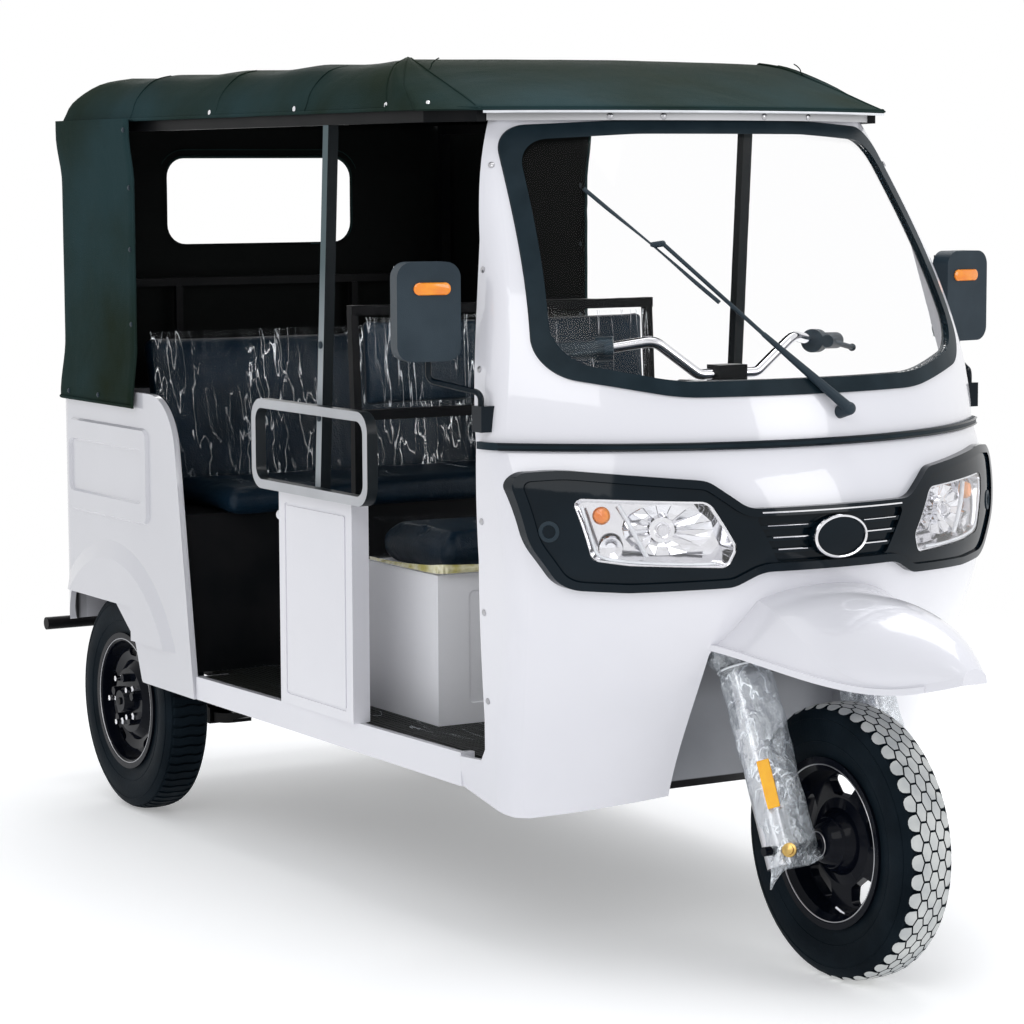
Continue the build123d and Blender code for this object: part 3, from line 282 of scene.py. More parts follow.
# The pillars' grey: darker and bluer towards the top, and near black on faces turned inwards, painted shade.
outward(rising(paint("pillar_grey", (0.34, 0.37, 0.39), 0.4, Specular_IOR_Level=0.12),
               (0.075, 0.11, 0.12), 1.12, 1.35), (0.007, 0.010, 0.012))
# The wheel wells' liner: a grey much darker than the white paint, and near black towards the top, painted shade
# inside the wheel wells; black below 0.342 m.
rising(rising(paint("liner_grey", (0.42, 0.43, 0.46), 0.45, (0.33, 0.34, 0.37), 4.0),
              (0.004, 0.004, 0.005), 0.343, 0.341), (0.012, 0.012, 0.014), 0.50, 0.66)
# Light grey of the front tyre's block tops: a painted sheen where they catch the light, with darker patches.
paint("tread_grey", (0.62, 0.63, 0.61), 0.5, (0.36, 0.38, 0.39), 12.0)
paint("floor_mat", (0.006, 0.007, 0.006), 0.5, Specular_IOR_Level=0.12)
# Seat leather: its blue and the bluer patches are a painted sheen.
paint("seat_leather", (0.003, 0.010, 0.018), 0.42, (0.006, 0.018, 0.034), 7.0,
      Specular_IOR_Level=0.1, Coat_Weight=0.12, Coat_Roughness=0.08)
clear("window_glass", (0.985, 0.985, 0.99), 0.0, 1.12)
clear("lens_clear", (0.97, 0.97, 0.98), 0.02)
cellophane("film", 0.012, (42.0, (1, 1, 0.035), 0.0, 0.016), (8.0, (1, 1, 0.22), 0.42, 0.60))
cellophane("flat_film", 0.012, (30.0, (1, 0.12, 1), 0.4, 0.014), (10.0, (1, 0.5, 1), 0.48, 0.66))
cellophane("wrap_film", 0.33, (30.0, (1, 1, 0.7), 0.5, 0.03), (14.0, (1, 1, 1), 0.38, 0.62))
# name, then layers of texture, scale, distance and, if any, stretch
for name, *layers in (("hood_cloth", ("crease", 5.0, 0.006), ("voronoi", 420.0, 0.0005)),
                      ("hood_lining", ("noise", 60.0, 0.0008)),
                      ("tread_grey", ("noise", 220.0, 0.0005)),
                      ("yellow_hem", ("crease", 40.0, 0.004)),
                      ("floor_mat", ("wave", 26.0, 0.002, (1, 0, 0)), ("crease", 14.0, 0.004)),
                      ("dark_plastic", ("noise", 500.0, 0.0003)),
                      ("tyre_rubber", ("noise", 180.0, 0.0006)),
                      ("motor_alloy", ("noise", 240.0, 0.0006)),
                      ("film", ("crease", 30.0, 0.006, (1, 1, 0.12))),
                      ("flat_film", ("crease", 30.0, 0.008, (1, 0.25, 1))),
                      ("wrap_film", ("crease", 18.0, 0.03), ("crease", 60.0, 0.006)),
                      ("seat_leather", ("voronoi", 260.0, 0.0006))):
    relief(MATERIALS[name], *layers)
relief(MATERIALS["seat_leather"], ("crease", 22.0, 0.012), ("crease", 60.0, 0.004), socket="Coat Normal")

node_slots = {part["node"]: part["material_slot"] for part in frame["record"]["subparts"]}


def cad(name):
    """The CAD node's object."""
    held = frame["nodes"][name]
    return held if isinstance(held, bpy.types.Object) else bpy.data.objects[name]


# nodes whose material differs a little from their slot's: gloss black mirror arms and a black front axle;
# painted light on the driver's seat box; painted shade on the rear side panels, the pillars, the wheel-well
# liner and the cab header
FINISHES_AND_PAINTED_LIGHT = {"rear_side_panels": "panel_white", "side_pillars": "pillar_grey", "wheel_well_liner": "liner_grey",
            "cab_header": "header_paint", "mirror_arms": "gloss_black", "driver_seat_box": "box_white",
            "front_axle": "wheel_black"}


def dress_cad_nodes():
    """Give every CAD node its slot's material, or the one listed for it above, where several paint light and
    shade.
    """
    for name in frame["nodes"]:
        piece = cad(name)
        piece.data.materials.clear()
        piece.data.materials.append(MATERIALS[FINISHES_AND_PAINTED_LIGHT.get(name, node_slots[name])])


# ---------------------------------------------------------------- stage
def put(name, data):
    """New object in the scene."""
    made = bpy.data.objects.new(name, data)
    bpy.context.scene.collection.objects.link(made)
    return made


SKY_LIGHT = 0.62
FLOOR_GLOW = 0.28
FLOOR_NEAR, FLOOR_FAR = 1.6, 4.2        # the floor turns from shaded to plain white between these distances
WHITE = (1, 1, 1, 1)
# name, place, aim, size, power
LAMPS = (("key", (-4.2, -4.6, 4.4), (0, -0.4, 0.9), 3.2, 76),
         ("front", (2.6, -6.0, 2.6), (0, -1.0, 0.8), 2.6, 63),
         ("top", (0.6, 0.4, 5.2), (0, 0, 1.0), 4.0, 140),
         ("back", (2.6, 5.6, 3.4), (0, 0.8, 1.0), 3.0, 70))


def build_world():
    """Soft sky light, and plain white where the camera, glass and metal see the background."""
    world = bpy.data.worlds.new("studio")
    bpy.context.scene.world = world
    world.use_nodes = True
    world.node_tree.nodes.clear()
    rays = node(world, "ShaderNodeLightPath")
    seen = math_node(world, "MAXIMUM", rays.outputs["Is Camera Ray"], rays.outputs["Is Transmission Ray"])
    seen = math_node(world, "MAXIMUM", seen, rays.outputs["Is Glossy Ray"])
    light = node(world, "ShaderNodeBackground", Color=(0.93, 0.96, 1.0, 1), Strength=SKY_LIGHT)
    shown = node(world, "ShaderNodeBackground", Color=WHITE, Strength=1.0)
    link(world, mixed(world, seen, light.outputs[0], shown.outputs[0]),
         node(world, "ShaderNodeOutputWorld").inputs["Surface"])


def build_floor():
    """Floor that takes shadows near the vehicle and is plain white further off."""
    bpy.ops.mesh.primitive_plane_add(size=60)
    floor = bpy.context.object
    floor.name = "floor"
    made = principled("floor", (0.9, 0.9, 0.9), 0.8, Specular_IOR_Level=0.1)
    nodes = made.node_tree.nodes
    glow = node(made, "ShaderNodeEmission", Color=WHITE, Strength=FLOOR_GLOW)
    lit = node(made, "ShaderNodeAddShader")
    link(made, nodes["Principled BSDF"].outputs["BSDF"], lit.inputs[0])
    link(made, glow.outputs["Emission"], lit.inputs[1])
    plain = node(made, "ShaderNodeEmission", Color=WHITE, Strength=1.0)
    away = node(made, "ShaderNodeVectorMath", operation="LENGTH")
    link(made, node(made, "ShaderNodeTexCoord").outputs["Object"], away.inputs[0])
    share = remap(made, away.outputs["Value"], FLOOR_NEAR, FLOOR_FAR)
    link(made, mixed(made, share, lit.outputs["Shader"], plain.outputs["Emission"]),
         nodes["Material Output"].inputs["Surface"])
    floor.data.materials.append(made)


def build_studio_lamps():
    """Square lamps, each turned to what it lights."""
    for name, place_at, aim, size, power in LAMPS:
        lamp = bpy.data.lights.new(name, "AREA")
        lamp.shape = "SQUARE"
        lamp.size = size
        lamp.energy = power
        held = put(name, lamp)
        held.location = place_at
        held.rotation_euler = (Vector(aim) - Vector(place_at)).to_track_quat("-Z", "Y").to_euler()


def build_camera():
    """The photo's camera, from its heading, the angle down and the roll."""
    ahead = Vector((math.sin(CAMERA_HEADING) * math.cos(CAMERA_DOWN),
                    math.cos(CAMERA_HEADING) * math.cos(CAMERA_DOWN), -math.sin(CAMERA_DOWN)))
    level = Vector((math.cos(CAMERA_HEADING), -math.sin(CAMERA_HEADING), 0))
    up = level.cross(ahead)
    right = math.cos(CAMERA_ROLL) * level + math.sin(CAMERA_ROLL) * up
    top = -math.sin(CAMERA_ROLL) * level + math.cos(CAMERA_ROLL) * up
    data = bpy.data.cameras.new("camera")
    data.lens = CAMERA_LENS
    data.sensor_width = 36
    data.dof.use_dof = False
    camera = put("camera", data)
    turn = Matrix((right, top, -ahead)).transposed()
    camera.matrix_world = Matrix.Translation(CAMERA_PLACE) @ turn.to_4x4()
    bpy.context.scene.camera = camera
    bpy.context.scene.view_settings.view_transform = "Standard"


# ---------------------------------------------------------------- mesh helpers
def modify(made, name, kind, **settings):
    """Add a modifier with these settings."""
    added = made.modifiers.new(name, kind)
    for key, value in settings.items():
        setattr(added, key, value)
    return added


def spread(low, high, count):
    """Values from low to high in so many even steps."""
    return [low + (high - low) * step / count for step in range(count + 1)]


def arc(x, y, radius, start, count=8):
    """Quarter of a circle round (x, y) from an angle on, without its last point."""
    return [(x + radius * math.cos(turn), y + radius * math.sin(turn))
            for turn in spread(start, start + math.pi / 2, count)[:-1]]


def full_turn(count, closed=False):
    """Angles of a full turn in equal steps; closed repeats the first place at the end."""
    return [2 * math.pi * step / count for step in range(count + closed)]


def wheel_point(x, axle_y, radius, turn):
    """Point at a radius round a wheel's axle, turned from straight up towards the rear."""
    return Vector((x, axle_y + radius * math.sin(turn), TYRE_RADIUS + radius * math.cos(turn)))


class Shape:
    """Points and faces gathered into one mesh."""

    def __init__(self):
        self.points = []
        self.faces = []

    def add(self, points, faces):
        """Take in points, and faces that count from the first of them."""
        start = len(self.points)
        self.points += [tuple(point) for point in points]
        self.faces += [tuple(start + index for index in face) for face in faces]

    def grid(self, rows, closed=False, capped=False):
        """Surface through rows of points; closed joins each row's ends, capped fills the outer rows."""
        across = len(rows[0])
        points = [point for row in rows for point in row]
        last = across if closed else across - 1
        faces = [(r * across + c, r * across + (c + 1) % across, (r + 1) * across + (c + 1) % across,
                  (r + 1) * across + c) for r in range(len(rows) - 1) for c in range(last)]
        if capped:
            faces.append(tuple(reversed(range(across))))
            faces.append(tuple(range(len(points) - across, len(points))))
        self.add(points, faces)

    def tube(self, path, radius, sides=12):
        """Round tube along points; radius is one size or one for each point."""
        path = [Vector(point) for point in path]
        sizes = radius if isinstance(radius, (list, tuple)) else [radius] * len(path)
        rows = []
        across = None
        for index, point in enumerate(path):
            ahead = path[min(index + 1, len(path) - 1)] - path[max(index - 1, 0)]
            ahead.normalize()
            if across is None:
                across = ahead.orthogonal().normalized()
            across = (across - ahead * across.dot(ahead)).normalized()
            other = ahead.cross(across)
            rows.append([point + sizes[index] * (math.cos(turn) * across + math.sin(turn) * other)
                         for turn in full_turn(sides)])
        self.grid(rows, closed=True, capped=True)

    def revolve(self, profile, centre, axis, sides=32):
        """Turn a profile of (distance along the axis, radius) round an axis through centre."""
        axis = Vector(axis).normalized()
        across = axis.orthogonal().normalized()
        other = axis.cross(across)
        rows = [[Vector(centre) + axis * along + radius * (math.cos(turn) * across + math.sin(turn) * other)
                 for turn in full_turn(sides)] for along, radius in profile]
        self.grid(rows, closed=True, capped=True)

    def box(self, centre, size, turn=None):
        """Box round a centre, turned by a matrix."""
        half = Vector(size) / 2
        turn = turn or Matrix.Identity(3)
        corners = [Vector(centre) + turn @ Vector((x * half.x, y * half.y, z * half.z))
                   for x in (-1, 1) for y in (-1, 1) for z in (-1, 1)]
        self.add(corners, [(0, 1, 3, 2), (4, 6, 7, 5), (0, 4, 5, 1), (2, 3, 7, 6), (0, 2, 6, 4), (1, 5, 7, 3)])

    def mirrored(self):
        """Add the copy on the other side of the vehicle."""
        start = len(self.points)
        self.points += [(-x, y, z) for x, y, z in self.points]
        self.faces += [tuple(start + index for index in reversed(face)) for face in self.faces]
        return self

    def plain(self, name):
        """Object of these points and faces, with no material and no body."""
        mesh = bpy.data.meshes.new(name)
        mesh.from_pydata(self.points, [], self.faces)
        return put(name, mesh)

    def piece(self, name, material, body="vehicle", smooth=True, bevel=0.0, angle=40):
        """Finished piece of a body; angle is where smooth shading breaks."""
        made = self.plain(name)
        mesh = made.data
        mesh.materials.append(MATERIALS[material])
        if bevel:
            modify(made, "bevel", "BEVEL", width=bevel, segments=2, limit_method="ANGLE")
        if smooth:
            for polygon in mesh.polygons:
                polygon.use_smooth = True
            mesh.set_sharp_from_angle(angle=math.radians(angle))
        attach(made, body)
        return made


def face_outwards(mesh):
    """Turn every closed part's faces outwards."""
    made = bmesh.new()
    made.from_mesh(mesh)
    bmesh.ops.recalc_face_normals(made, faces=made.faces)
    made.to_mesh(mesh)
    made.free()


def cast(name, start, ahead):
    """Where a ray first meets a CAD node, and the node's normal there."""
    hit, place_at, normal, _ = cad(name).ray_cast(Vector(start), Vector(ahead).normalized())
    if not hit:
        raise ValueError(f"the ray from {start} misses {name}")
    return place_at, normal


def front_point(name, x, z, out=0.0):
    """Point of a CAD node seen from ahead at (x, z), moved out along its normal, and that normal."""
    at, normal = cast(name, (x, -3, z), (0, 1, 0))
    return at + normal * out, normal


def side_point(name, side, y, z):
    """Point of a CAD node seen from one side, y behind the front axle, and its normal."""
    return cast(name, (side * 2, FRONT_AXLE_Y + y, z), (-side, 0, 0))


def catmull(a, b, c, d, t):
    """Catmull-Rom curve from b to c, at a share t of the way."""
    return 0.5 * (2 * b + (c - a) * t + (2 * a - 5 * b + 4 * c - d) * t * t
                  + (3 * b - 3 * c + d - a) * t * t * t)


def smooth_path(points, steps=8):
    """Smooth curve through points."""
    points = [Vector(point) for point in points]
    ends = [2 * points[0] - points[1], *points, 2 * points[-1] - points[-2]]
    return [catmull(*four, step / steps) for four in zip(ends, ends[1:], ends[2:], ends[3:])
            for step in range(steps)] + [points[-1]]


def ease(low, high, value):
    """Smooth step from 0 at low to 1 at high."""
    t = min(1.0, max(0.0, (value - low) / (high - low)))
    return t * t * (3 - 2 * t)


# ---------------------------------------------------------------- hood
HEM_Z = 1.667
ROOF_Z = 1.779
CROWN = 0.004               # how far the roof's middle stands over the edge of the flat roof
FLARE, SIDE_HALF = 0.0035, 0.55         # how far the hem flares out, and the half width it is given for
RIDGE_END = 0.35            # from the flat roof's nose and back to the ends of its middle line
# height, nose, front corner's X and Y, half width, Y where the straight side begins, back, rear corner radius
HOOD_ROWS = ((HEM_Z, 0.410, 0.488, 0.540, 0.556, 0.672, 2.526, 0.070),
             (1.716, 0.560, 0.474, 0.690, 0.540, 0.770, 2.504, 0.074),
             (1.760, 0.712, 0.458, 0.836, 0.496, 0.876, 2.444, 0.080),
             (ROOF_Z - CROWN, 0.800, 0.436, 0.915, 0.440, 0.925, 2.376, 0.080))
BOW_Y = (0.920, 1.290, 1.660, 2.040, 2.330)
SEAM_Y = (0.795, 1.167, 1.603, 2.060)
STUD_Y = (0.664, 0.808, 1.215, 1.633)
CURTAIN_HALF = 0.574
CURTAIN_BACK = 2.5223
CURTAIN_CORNER = 0.060
CURTAIN_HEM_Z = 0.992
CURTAIN_LEFT, CURTAIN_RIGHT = 1.830, 2.040      # front edges
CURTAIN_EDGES = ((1, CURTAIN_LEFT), (-1, CURTAIN_RIGHT))
WINDOW = (0.262, 1.366, 1.582, 0.050)       # half width, bottom, top, corner radius
CLOTH = 0.003
CURTAIN_TOP_Z = HEM_Z + 0.006


def hood_row(level):
    """The hood's plan sizes at a level from 0, the hem, to 1, the edge of the flat roof."""
    place_at = level * (len(HOOD_ROWS) - 1)
    index = min(int(place_at), len(HOOD_ROWS) - 2)
    rows = [HOOD_ROWS[max(0, min(len(HOOD_ROWS) - 1, index + shift))] for shift in (-1, 0, 1, 2)]
    return [catmull(*four, place_at - index) for four in zip(*rows)]


def nose_y(row, x):
    """Where the arc of the hood's front edge lies at x, for a row of plan sizes."""
    _, nose, corner_x, corner_y, *_ = row
    sagitta = corner_y - nose
    arc = (corner_x * corner_x + sagitta * sagitta) / (2 * sagitta)
    return nose + arc - math.sqrt(arc * arc - x * x)


def hood_outline(row, front=12, fold=6, side=44, corner=8, rear=14):
    """Left half of the hood's plan, from the middle of the front round to the middle of the rear."""
    _, _, corner_x, corner_y, half, shoulder_y, back, radius = row
    points = [(x, nose_y(row, x)) for x in spread(0, corner_x, front)[:-1]]
    points += list(zip(spread(corner_x, half, fold), spread(corner_y, shoulder_y, fold)))[:-1]
    points += [(half, y) for y in spread(shoulder_y, back - radius, side)[:-1]]
    points += arc(half - radius, back - radius, radius, 0, corner)
    return points + [((half - radius) * (1 - share), back) for share in spread(0, 1, rear)]


def sag(y):
    """Dip of the cloth between the bows, from 0 on a bow to 1 halfway."""
    for low, high in zip(BOW_Y, BOW_Y[1:]):
        if low < y < high:
            return math.sin(math.pi * (y - low) / (high - low)) ** 2
    return 0.0


def drawn_in(z):
    """How far the side curtain is pulled in between the roof's hem and its own."""
    return 0.012 * ease(1.64, 1.52, z) * ease(1.0, 1.14, z) if z < 1.64 else 0.0


def cloth_point(x, y, z, level):
    """Where the roof's cloth lies: a point of its plain form, dipped between the bows and gently creased."""
    wave = noise.noise(Vector((x * 5, y * 4, z * 9)))
    fine = noise.noise(Vector((x * 16, y * 13, z * 17 + 3)))
    drop = 0.006 * sag(y) * ease(0.15, 0.9, level) * (0.3 + 0.7 * ease(0.75, 0.95, y))
    shift = 0.0022 * wave + 0.0008 * fine
    side = 1 if x > 0 else -1
    return Vector((x + side * shift * (1 - 0.6 * level) - side * 0.003 * sag(y) * (1 - level),
                   FRONT_AXLE_Y + y, z - drop + 0.6 * shift * ease(0.1, 0.6, level)))


def flared(x, z):
    """Push x outwards near the hem, by FLARE at the side."""
    return x * (1 + FLARE * ease(1.69, HEM_Z, z) / SIDE_HALF)


def build_hood():
    """The roof's cloth: rings up from the hem, then rings of the flat roof that close on its middle line."""
    rings = []
    for level in spread(0, 1, 12):
        row = hood_row(level)
        rings.append([(flared(x, row[0]), y, row[0], level) for x, y in hood_outline(row)])
    top = hood_row(1)
    for share in spread(0, 1, 5)[1:]:
        ring = []
        for x, y in hood_outline(top):
            middle = min(max(y, top[1] + RIDGE_END), top[6] - RIDGE_END)
            ring.append((x * (1 - share), y + (middle - y) * share, top[0] + CROWN * share * (2 - share), 1.0))
        rings.append(ring)
    roof = Shape()
    for ring in rings:
        ring[:0] = [(-x, y, z, level) for x, y, z, level in reversed(ring[1:])]
    roof.grid([[cloth_point(*spot) for spot in ring] for ring in rings])
    made = roof.piece("hood_roof", "hood_cloth", angle=75)
    thicken(made)
    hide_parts("hood")
    trims = [build_hood_trim(), build_gussets()]


def thicken(made):
    """Give a sheet its thickness inwards, with the lining on that side."""
    made.data.materials.append(MATERIALS["hood_lining"])
    modify(made, "cloth", "SOLIDIFY", thickness=CLOTH, offset=-1 if normals_face_out(made) else 1,
           material_offset=1, material_offset_rim=0)


def normals_face_out(made):
    """Whether most of a sheet round the vehicle's middle has its normals away from it."""
    centre = Vector((0, FRONT_AXLE_Y + 1.5, 1.2))
    votes = sum(1 if polygon.normal.dot(polygon.center - centre) > 0 else -1 for polygon in made.data.polygons)
    return votes > 0


def hood_point(y, level, out=0.0):
    """Point of the roof's cloth on its left side, y behind the front axle; level 0 is the hem."""
    z, _, corner_x, corner_y, half, shoulder_y, _, _ = hood_row(level)
    x = corner_x + (half - corner_x) * min(1.0, max(0.0, (y - corner_y) / (shoulder_y - corner_y)))
    tip = math.pi / 2 * ease(0, 1, level)
    return cloth_point(flared(x, z), y, z, level) + out * Vector((math.cos(tip), 0, math.sin(tip)))


def hood_front_point(share, level, out=0.0):
    """Point of the roof's cloth on its front slope, share from -1 to 1 across it."""
    row = hood_row(level)
    x = row[2] * share
    return cloth_point(x, nose_y(row, x), row[0], level) + out * Vector((0, -0.6, 0.8))


def build_hood_trim():
    """Seams across the side bands and the rolled hem all round."""
    trim = Shape()
    for y in SEAM_Y:
        trim.tube(smooth_path([hood_point(y, level / 12, 0.0004) for level in range(12)], 2), 0.0013, 6)
    side = spread(0.545, 0.645, 4)[:-1] + spread(0.672, 2.456, 24)
    trim.tube([hood_front_point(share, 0.03) for share in spread(0, 1, 16)]
              + [hood_point(y, 0.03) for y in side], 0.0034, 8)
    return trim.mirrored().piece("hood_seams", "hood_cloth")


GUSSET_FOOT, GUSSET_TOP = 0.800, 0.932      # Y of the folded gusset's rear edge, on the hem and at the roof


def build_gussets():
    """Folded gussets at the front corners: bulged triangles of cloth from the roof down to the hem."""
    patch = Shape()
    rows = []
    for level in spread(0, 1, 14):
        front, rear = hood_row(level)[3] + 0.002, GUSSET_FOOT + (GUSSET_TOP - GUSSET_FOOT) * level ** 1.3
        row = []
        for share in spread(0, 1, 16):
            edge = min(1.0, 6 * share, 6 * (1 - share))
            pleat = 0.0022 * math.sin(math.pi * (2.6 * share + 0.4 * level)) * (1 - level)
            out = 0.0012 + (0.0075 * math.sin(math.pi * share) ** 0.7 * (1 - 0.5 * level) + pleat) * edge
            row.append(hood_point(front + (rear - front) * share, min(level, 0.995), out))
        rows.append(row)
    patch.grid(rows)
    for side in (0, -1):
        patch.tube([row[side] for row in rows], 0.0026, 6)
    patch.tube([row[8] + Vector((0.0008, 0, 0.0004)) for row in rows[:12]], 0.0010, 6)
    return patch.mirrored().piece("hood_gussets", "hood_cloth", angle=60)


def curtain_path(inset=0.0):
    """Plan points of the curtain, from its left front edge round the rear to its right one."""
    half, back, radius = CURTAIN_HALF - inset, CURTAIN_BACK - inset, CURTAIN_CORNER - inset / 2
    path = [(half, y) for y in spread(CURTAIN_LEFT, back - radius, 16)[:-1]]
    path += arc(half - radius, back - radius, radius, 0)
    path += [(x, back) for x in spread(half - radius, radius - half, 40)[:-1]]
    path += arc(radius - half, back - radius, radius, math.pi / 2)
    return path + [(-half, y) for y in spread(back - radius, CURTAIN_RIGHT, 12)]


def curtain_spot(side, y, z):
    """Point of the curtain's side, y behind the front axle."""
    return side * (CURTAIN_HALF - drawn_in(z)), FRONT_AXLE_Y + y, z


def build_curtain():
    """Gently folded curtain round the rear, with the window cut out of it."""
    rows = []
    for z in spread(CURTAIN_HEM_Z, CURTAIN_TOP_Z, 30):
        row = []
        for index, (x, y) in enumerate(curtain_path(drawn_in(z))):
            fold = (noise.noise(Vector((index * 0.33, z * 1.7, 0)))
                    + 0.4 * noise.noise(Vector((index * 0.9, z * 5, 7))))
            push = 0.0035 * fold * ease(HEM_Z, 1.5, z) * ease(CURTAIN_HEM_Z - 0.01, 1.1, z)
            flat = 1 if abs(y - CURTAIN_BACK) > 0.03 else 0
            row.append((x + math.copysign(push, x) * flat, FRONT_AXLE_Y + y + push * (1 - flat), z))
        rows.append(row)
    curtain = Shape()
    curtain.grid(rows)
    made = curtain.piece("hood_curtain", "hood_cloth", angle=75)
    thicken(made)
    cutter = window_prism()
    modify(made, "window", "BOOLEAN", object=cutter, solver="EXACT")
    apply_modifiers(made)
    bpy.data.objects.remove(cutter)
    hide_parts("hood_curtain")
    trims = [build_curtain_trim()]


def window_outline(grow=0.0):
    """Outline of the rear window, grown by a distance, as (x, z)."""
    half, bottom, top, radius = WINDOW
    return [(x, (bottom + top) / 2 + z)
            for x, z in rounded_rectangle(2 * (half + grow), top - bottom + 2 * grow, radius + grow)]


def window_prism():
    """Rounded block through the rear curtain, as a scratch object."""
    block = Shape()
    block.grid([[(x, FRONT_AXLE_Y + y, z) for x, z in window_outline()]
                for y in (CURTAIN_BACK - 0.1, CURTAIN_BACK + 0.1)], closed=True, capped=True)
    made = block.plain("cutter")
    face_outwards(made.data)
    return made


def rounded_rectangle(width, height, radius, steps=7):
    """Outline of a rounded rectangle round the origin."""
    outline = []
    for quarter in range(4):
        x = (width / 2 - radius) * (1 if quarter in (0, 3) else -1)
        y = (height / 2 - radius) * (1 if quarter < 2 else -1)
        for share in spread(0, 1, steps):
            turn = math.pi / 2 * (quarter + share)
            outline.append((x + radius * math.cos(turn), y + radius * math.sin(turn)))
    return outline


def apply_modifiers(made):
    """Replace the piece's mesh by what its modifiers make of it."""
    bpy.context.view_layer.update()
    evaluated = made.evaluated_get(bpy.context.evaluated_depsgraph_get())
    mesh = bpy.data.meshes.new_from_object(evaluated)
    made.modifiers.clear()
    made.data = mesh


def build_header_lip():
    """Pale strip under the hood's front hem."""
    lip = Shape()
    half = [hood_front_point(share, 0.0) + Vector((0, 0.001, -0.0055)) for share in spread(0, 1, 16)]
    lip.tube([(-x, y, z) for x, y, z in reversed(half)] + half[1:], 0.0028, 8)
    lip.piece("header_lip", "border_white")


def build_curtain_trim():
    """Binding round the rear window, the hem's roll and the front edges' rolls."""
    trim = Shape()
    for grow, thick in ((0.004, 0.0035), (0.022, 0.0016)):
        ring = [(x, FRONT_AXLE_Y + CURTAIN_BACK - 0.010, z) for x, z in window_outline(grow)]
        trim.tube(ring + ring[:1], thick, 6)
    trim.tube([(x, FRONT_AXLE_Y + y, CURTAIN_HEM_Z + 0.004) for x, y in curtain_path()], 0.0035, 6)
    for side, front in CURTAIN_EDGES:
        trim.tube([curtain_spot(side, front, z) for z in spread(CURTAIN_HEM_Z, HEM_Z, 20)], 0.0035, 6)
    return trim.piece("curtain_binding", "hood_cloth")


def build_studs():
    """Press studs along the hood's hems: bright ones on the valance, black ones on the curtains."""
    bright = Shape()
    for y in STUD_Y:
        at = hood_point(y, 0.1, 0.004 if y < GUSSET_FOOT else 0.0)
        bright.revolve(((-0.002, 0.0065), (0.001, 0.0065), (0.0028, 0.004), (0.003, 0.0)),
                       at, (1, 0, 0.1), 14)
    bright.mirrored().piece("valance_studs", "bar_chrome")
    dark = Shape()
    for side, front in CURTAIN_EDGES:
        spots = [(front + 0.022, z) for z in (1.646, 1.511, 1.366, 1.190)]
        for y, z in spots + [(front + 0.20, 1.013), (2.42, 1.013)]:
            dark.revolve(((-0.003, 0.006), (0.002, 0.006), (0.0035, 0.004), (0.004, 0.0)),
                         curtain_spot(side, y, z), (side, 0, 0), 12)
    dark.piece("curtain_studs", "dark_plastic")


# ---------------------------------------------------------------- tyres
TREAD_DEPTH = 0.006
# half of the tyre's section from the crown to the bead: distance from the middle plane, radius
TYRE_SECTION = ((0.0, 0.2670), (0.020, 0.2662), (0.036, 0.2635), (0.046, 0.2570), (0.052, 0.2470),
                (0.0550, 0.2330), (0.0560, 0.2180), (0.0550, 0.2020), (0.0510, 0.1860), (0.0480, 0.1740),
                (0.0475, 0.1660), (0.0460, 0.1545))


def crown_radius(across):
    """Radius of the tread's surface at a distance from the middle plane."""
    across = abs(across)
    for (low, low_r), (high, high_r) in zip(TYRE_SECTION, TYRE_SECTION[1:]):
        if across <= high:
            return low_r + (high_r - low_r) * (across - low) / (high - low)
    return TYRE_SECTION[-1][1]


def tread_block(shape, x, axle_y, outline, around, across, depth=TREAD_DEPTH):
    """One block: its outline in (across, around) metres, placed on the crown, with a chamfered top."""
    rows = []
    for inset, sink in ((1.0, depth), (1.0, 0.0008), (0.93, 0.0)):
        row = []
        for u, v in outline:
            u, v = across + u * inset, v * inset
            row.append(wheel_point(x + u, axle_y, crown_radius(u) - sink, around + v / TYRE_RADIUS))
        rows.append(row)
    shape.grid(rows, closed=True)
    start = len(shape.points) - len(outline)
    shape.faces.append(tuple(range(start, start + len(outline))))


# outlines of the tread's blocks: of the front tyre's columns and its shoulders, and of the rear tyres
SCALE = ((-0.0108, 0.0), (-0.0054, -0.0178), (0.0054, -0.0178), (0.0108, 0.0), (0.0054, 0.0178),
         (-0.0054, 0.0178))
SHOULDER = ((-0.0104, 0.0), (-0.0052, -0.0172), (0.0020, -0.0166), (0.0080, -0.0140), (0.0118, -0.0080),
            (0.0128, 0.0), (0.0118, 0.0080), (0.0080, 0.0140), (0.0020, 0.0166), (-0.0052, 0.0172))
LEFT_SHOULDER = [(-u, v) for u, v in SHOULDER][::-1]
REAR_BAR = ((-0.041, 0.0070), (-0.043, -0.0105), (-0.024, -0.0135), (0.0, -0.0100), (0.024, -0.0135),
            (0.043, -0.0105), (0.041, 0.0078), (0.024, 0.0062), (0.0, 0.0105), (-0.024, 0.0062))
COLUMNS = 5
COLUMN = 0.0172             # from one column of scales to the next
FRONT_BLOCKS = 45           # in each column
REAR_BARS = 66


def build_front_tread(made, x, y):
    """Scales in columns, each column half a step on from the last, with rounded ones on the shoulders."""
    middle = COLUMNS // 2
    for index in range(FRONT_BLOCKS):
        for column in range(COLUMNS):
            around = 2 * math.pi * (index + 0.5 * (column % 2)) / FRONT_BLOCKS
            outline = {0: LEFT_SHOULDER, COLUMNS - 1: SHOULDER}.get(column, SCALE)
            tread_block(made, x, y, outline, around, (column - middle) * COLUMN)


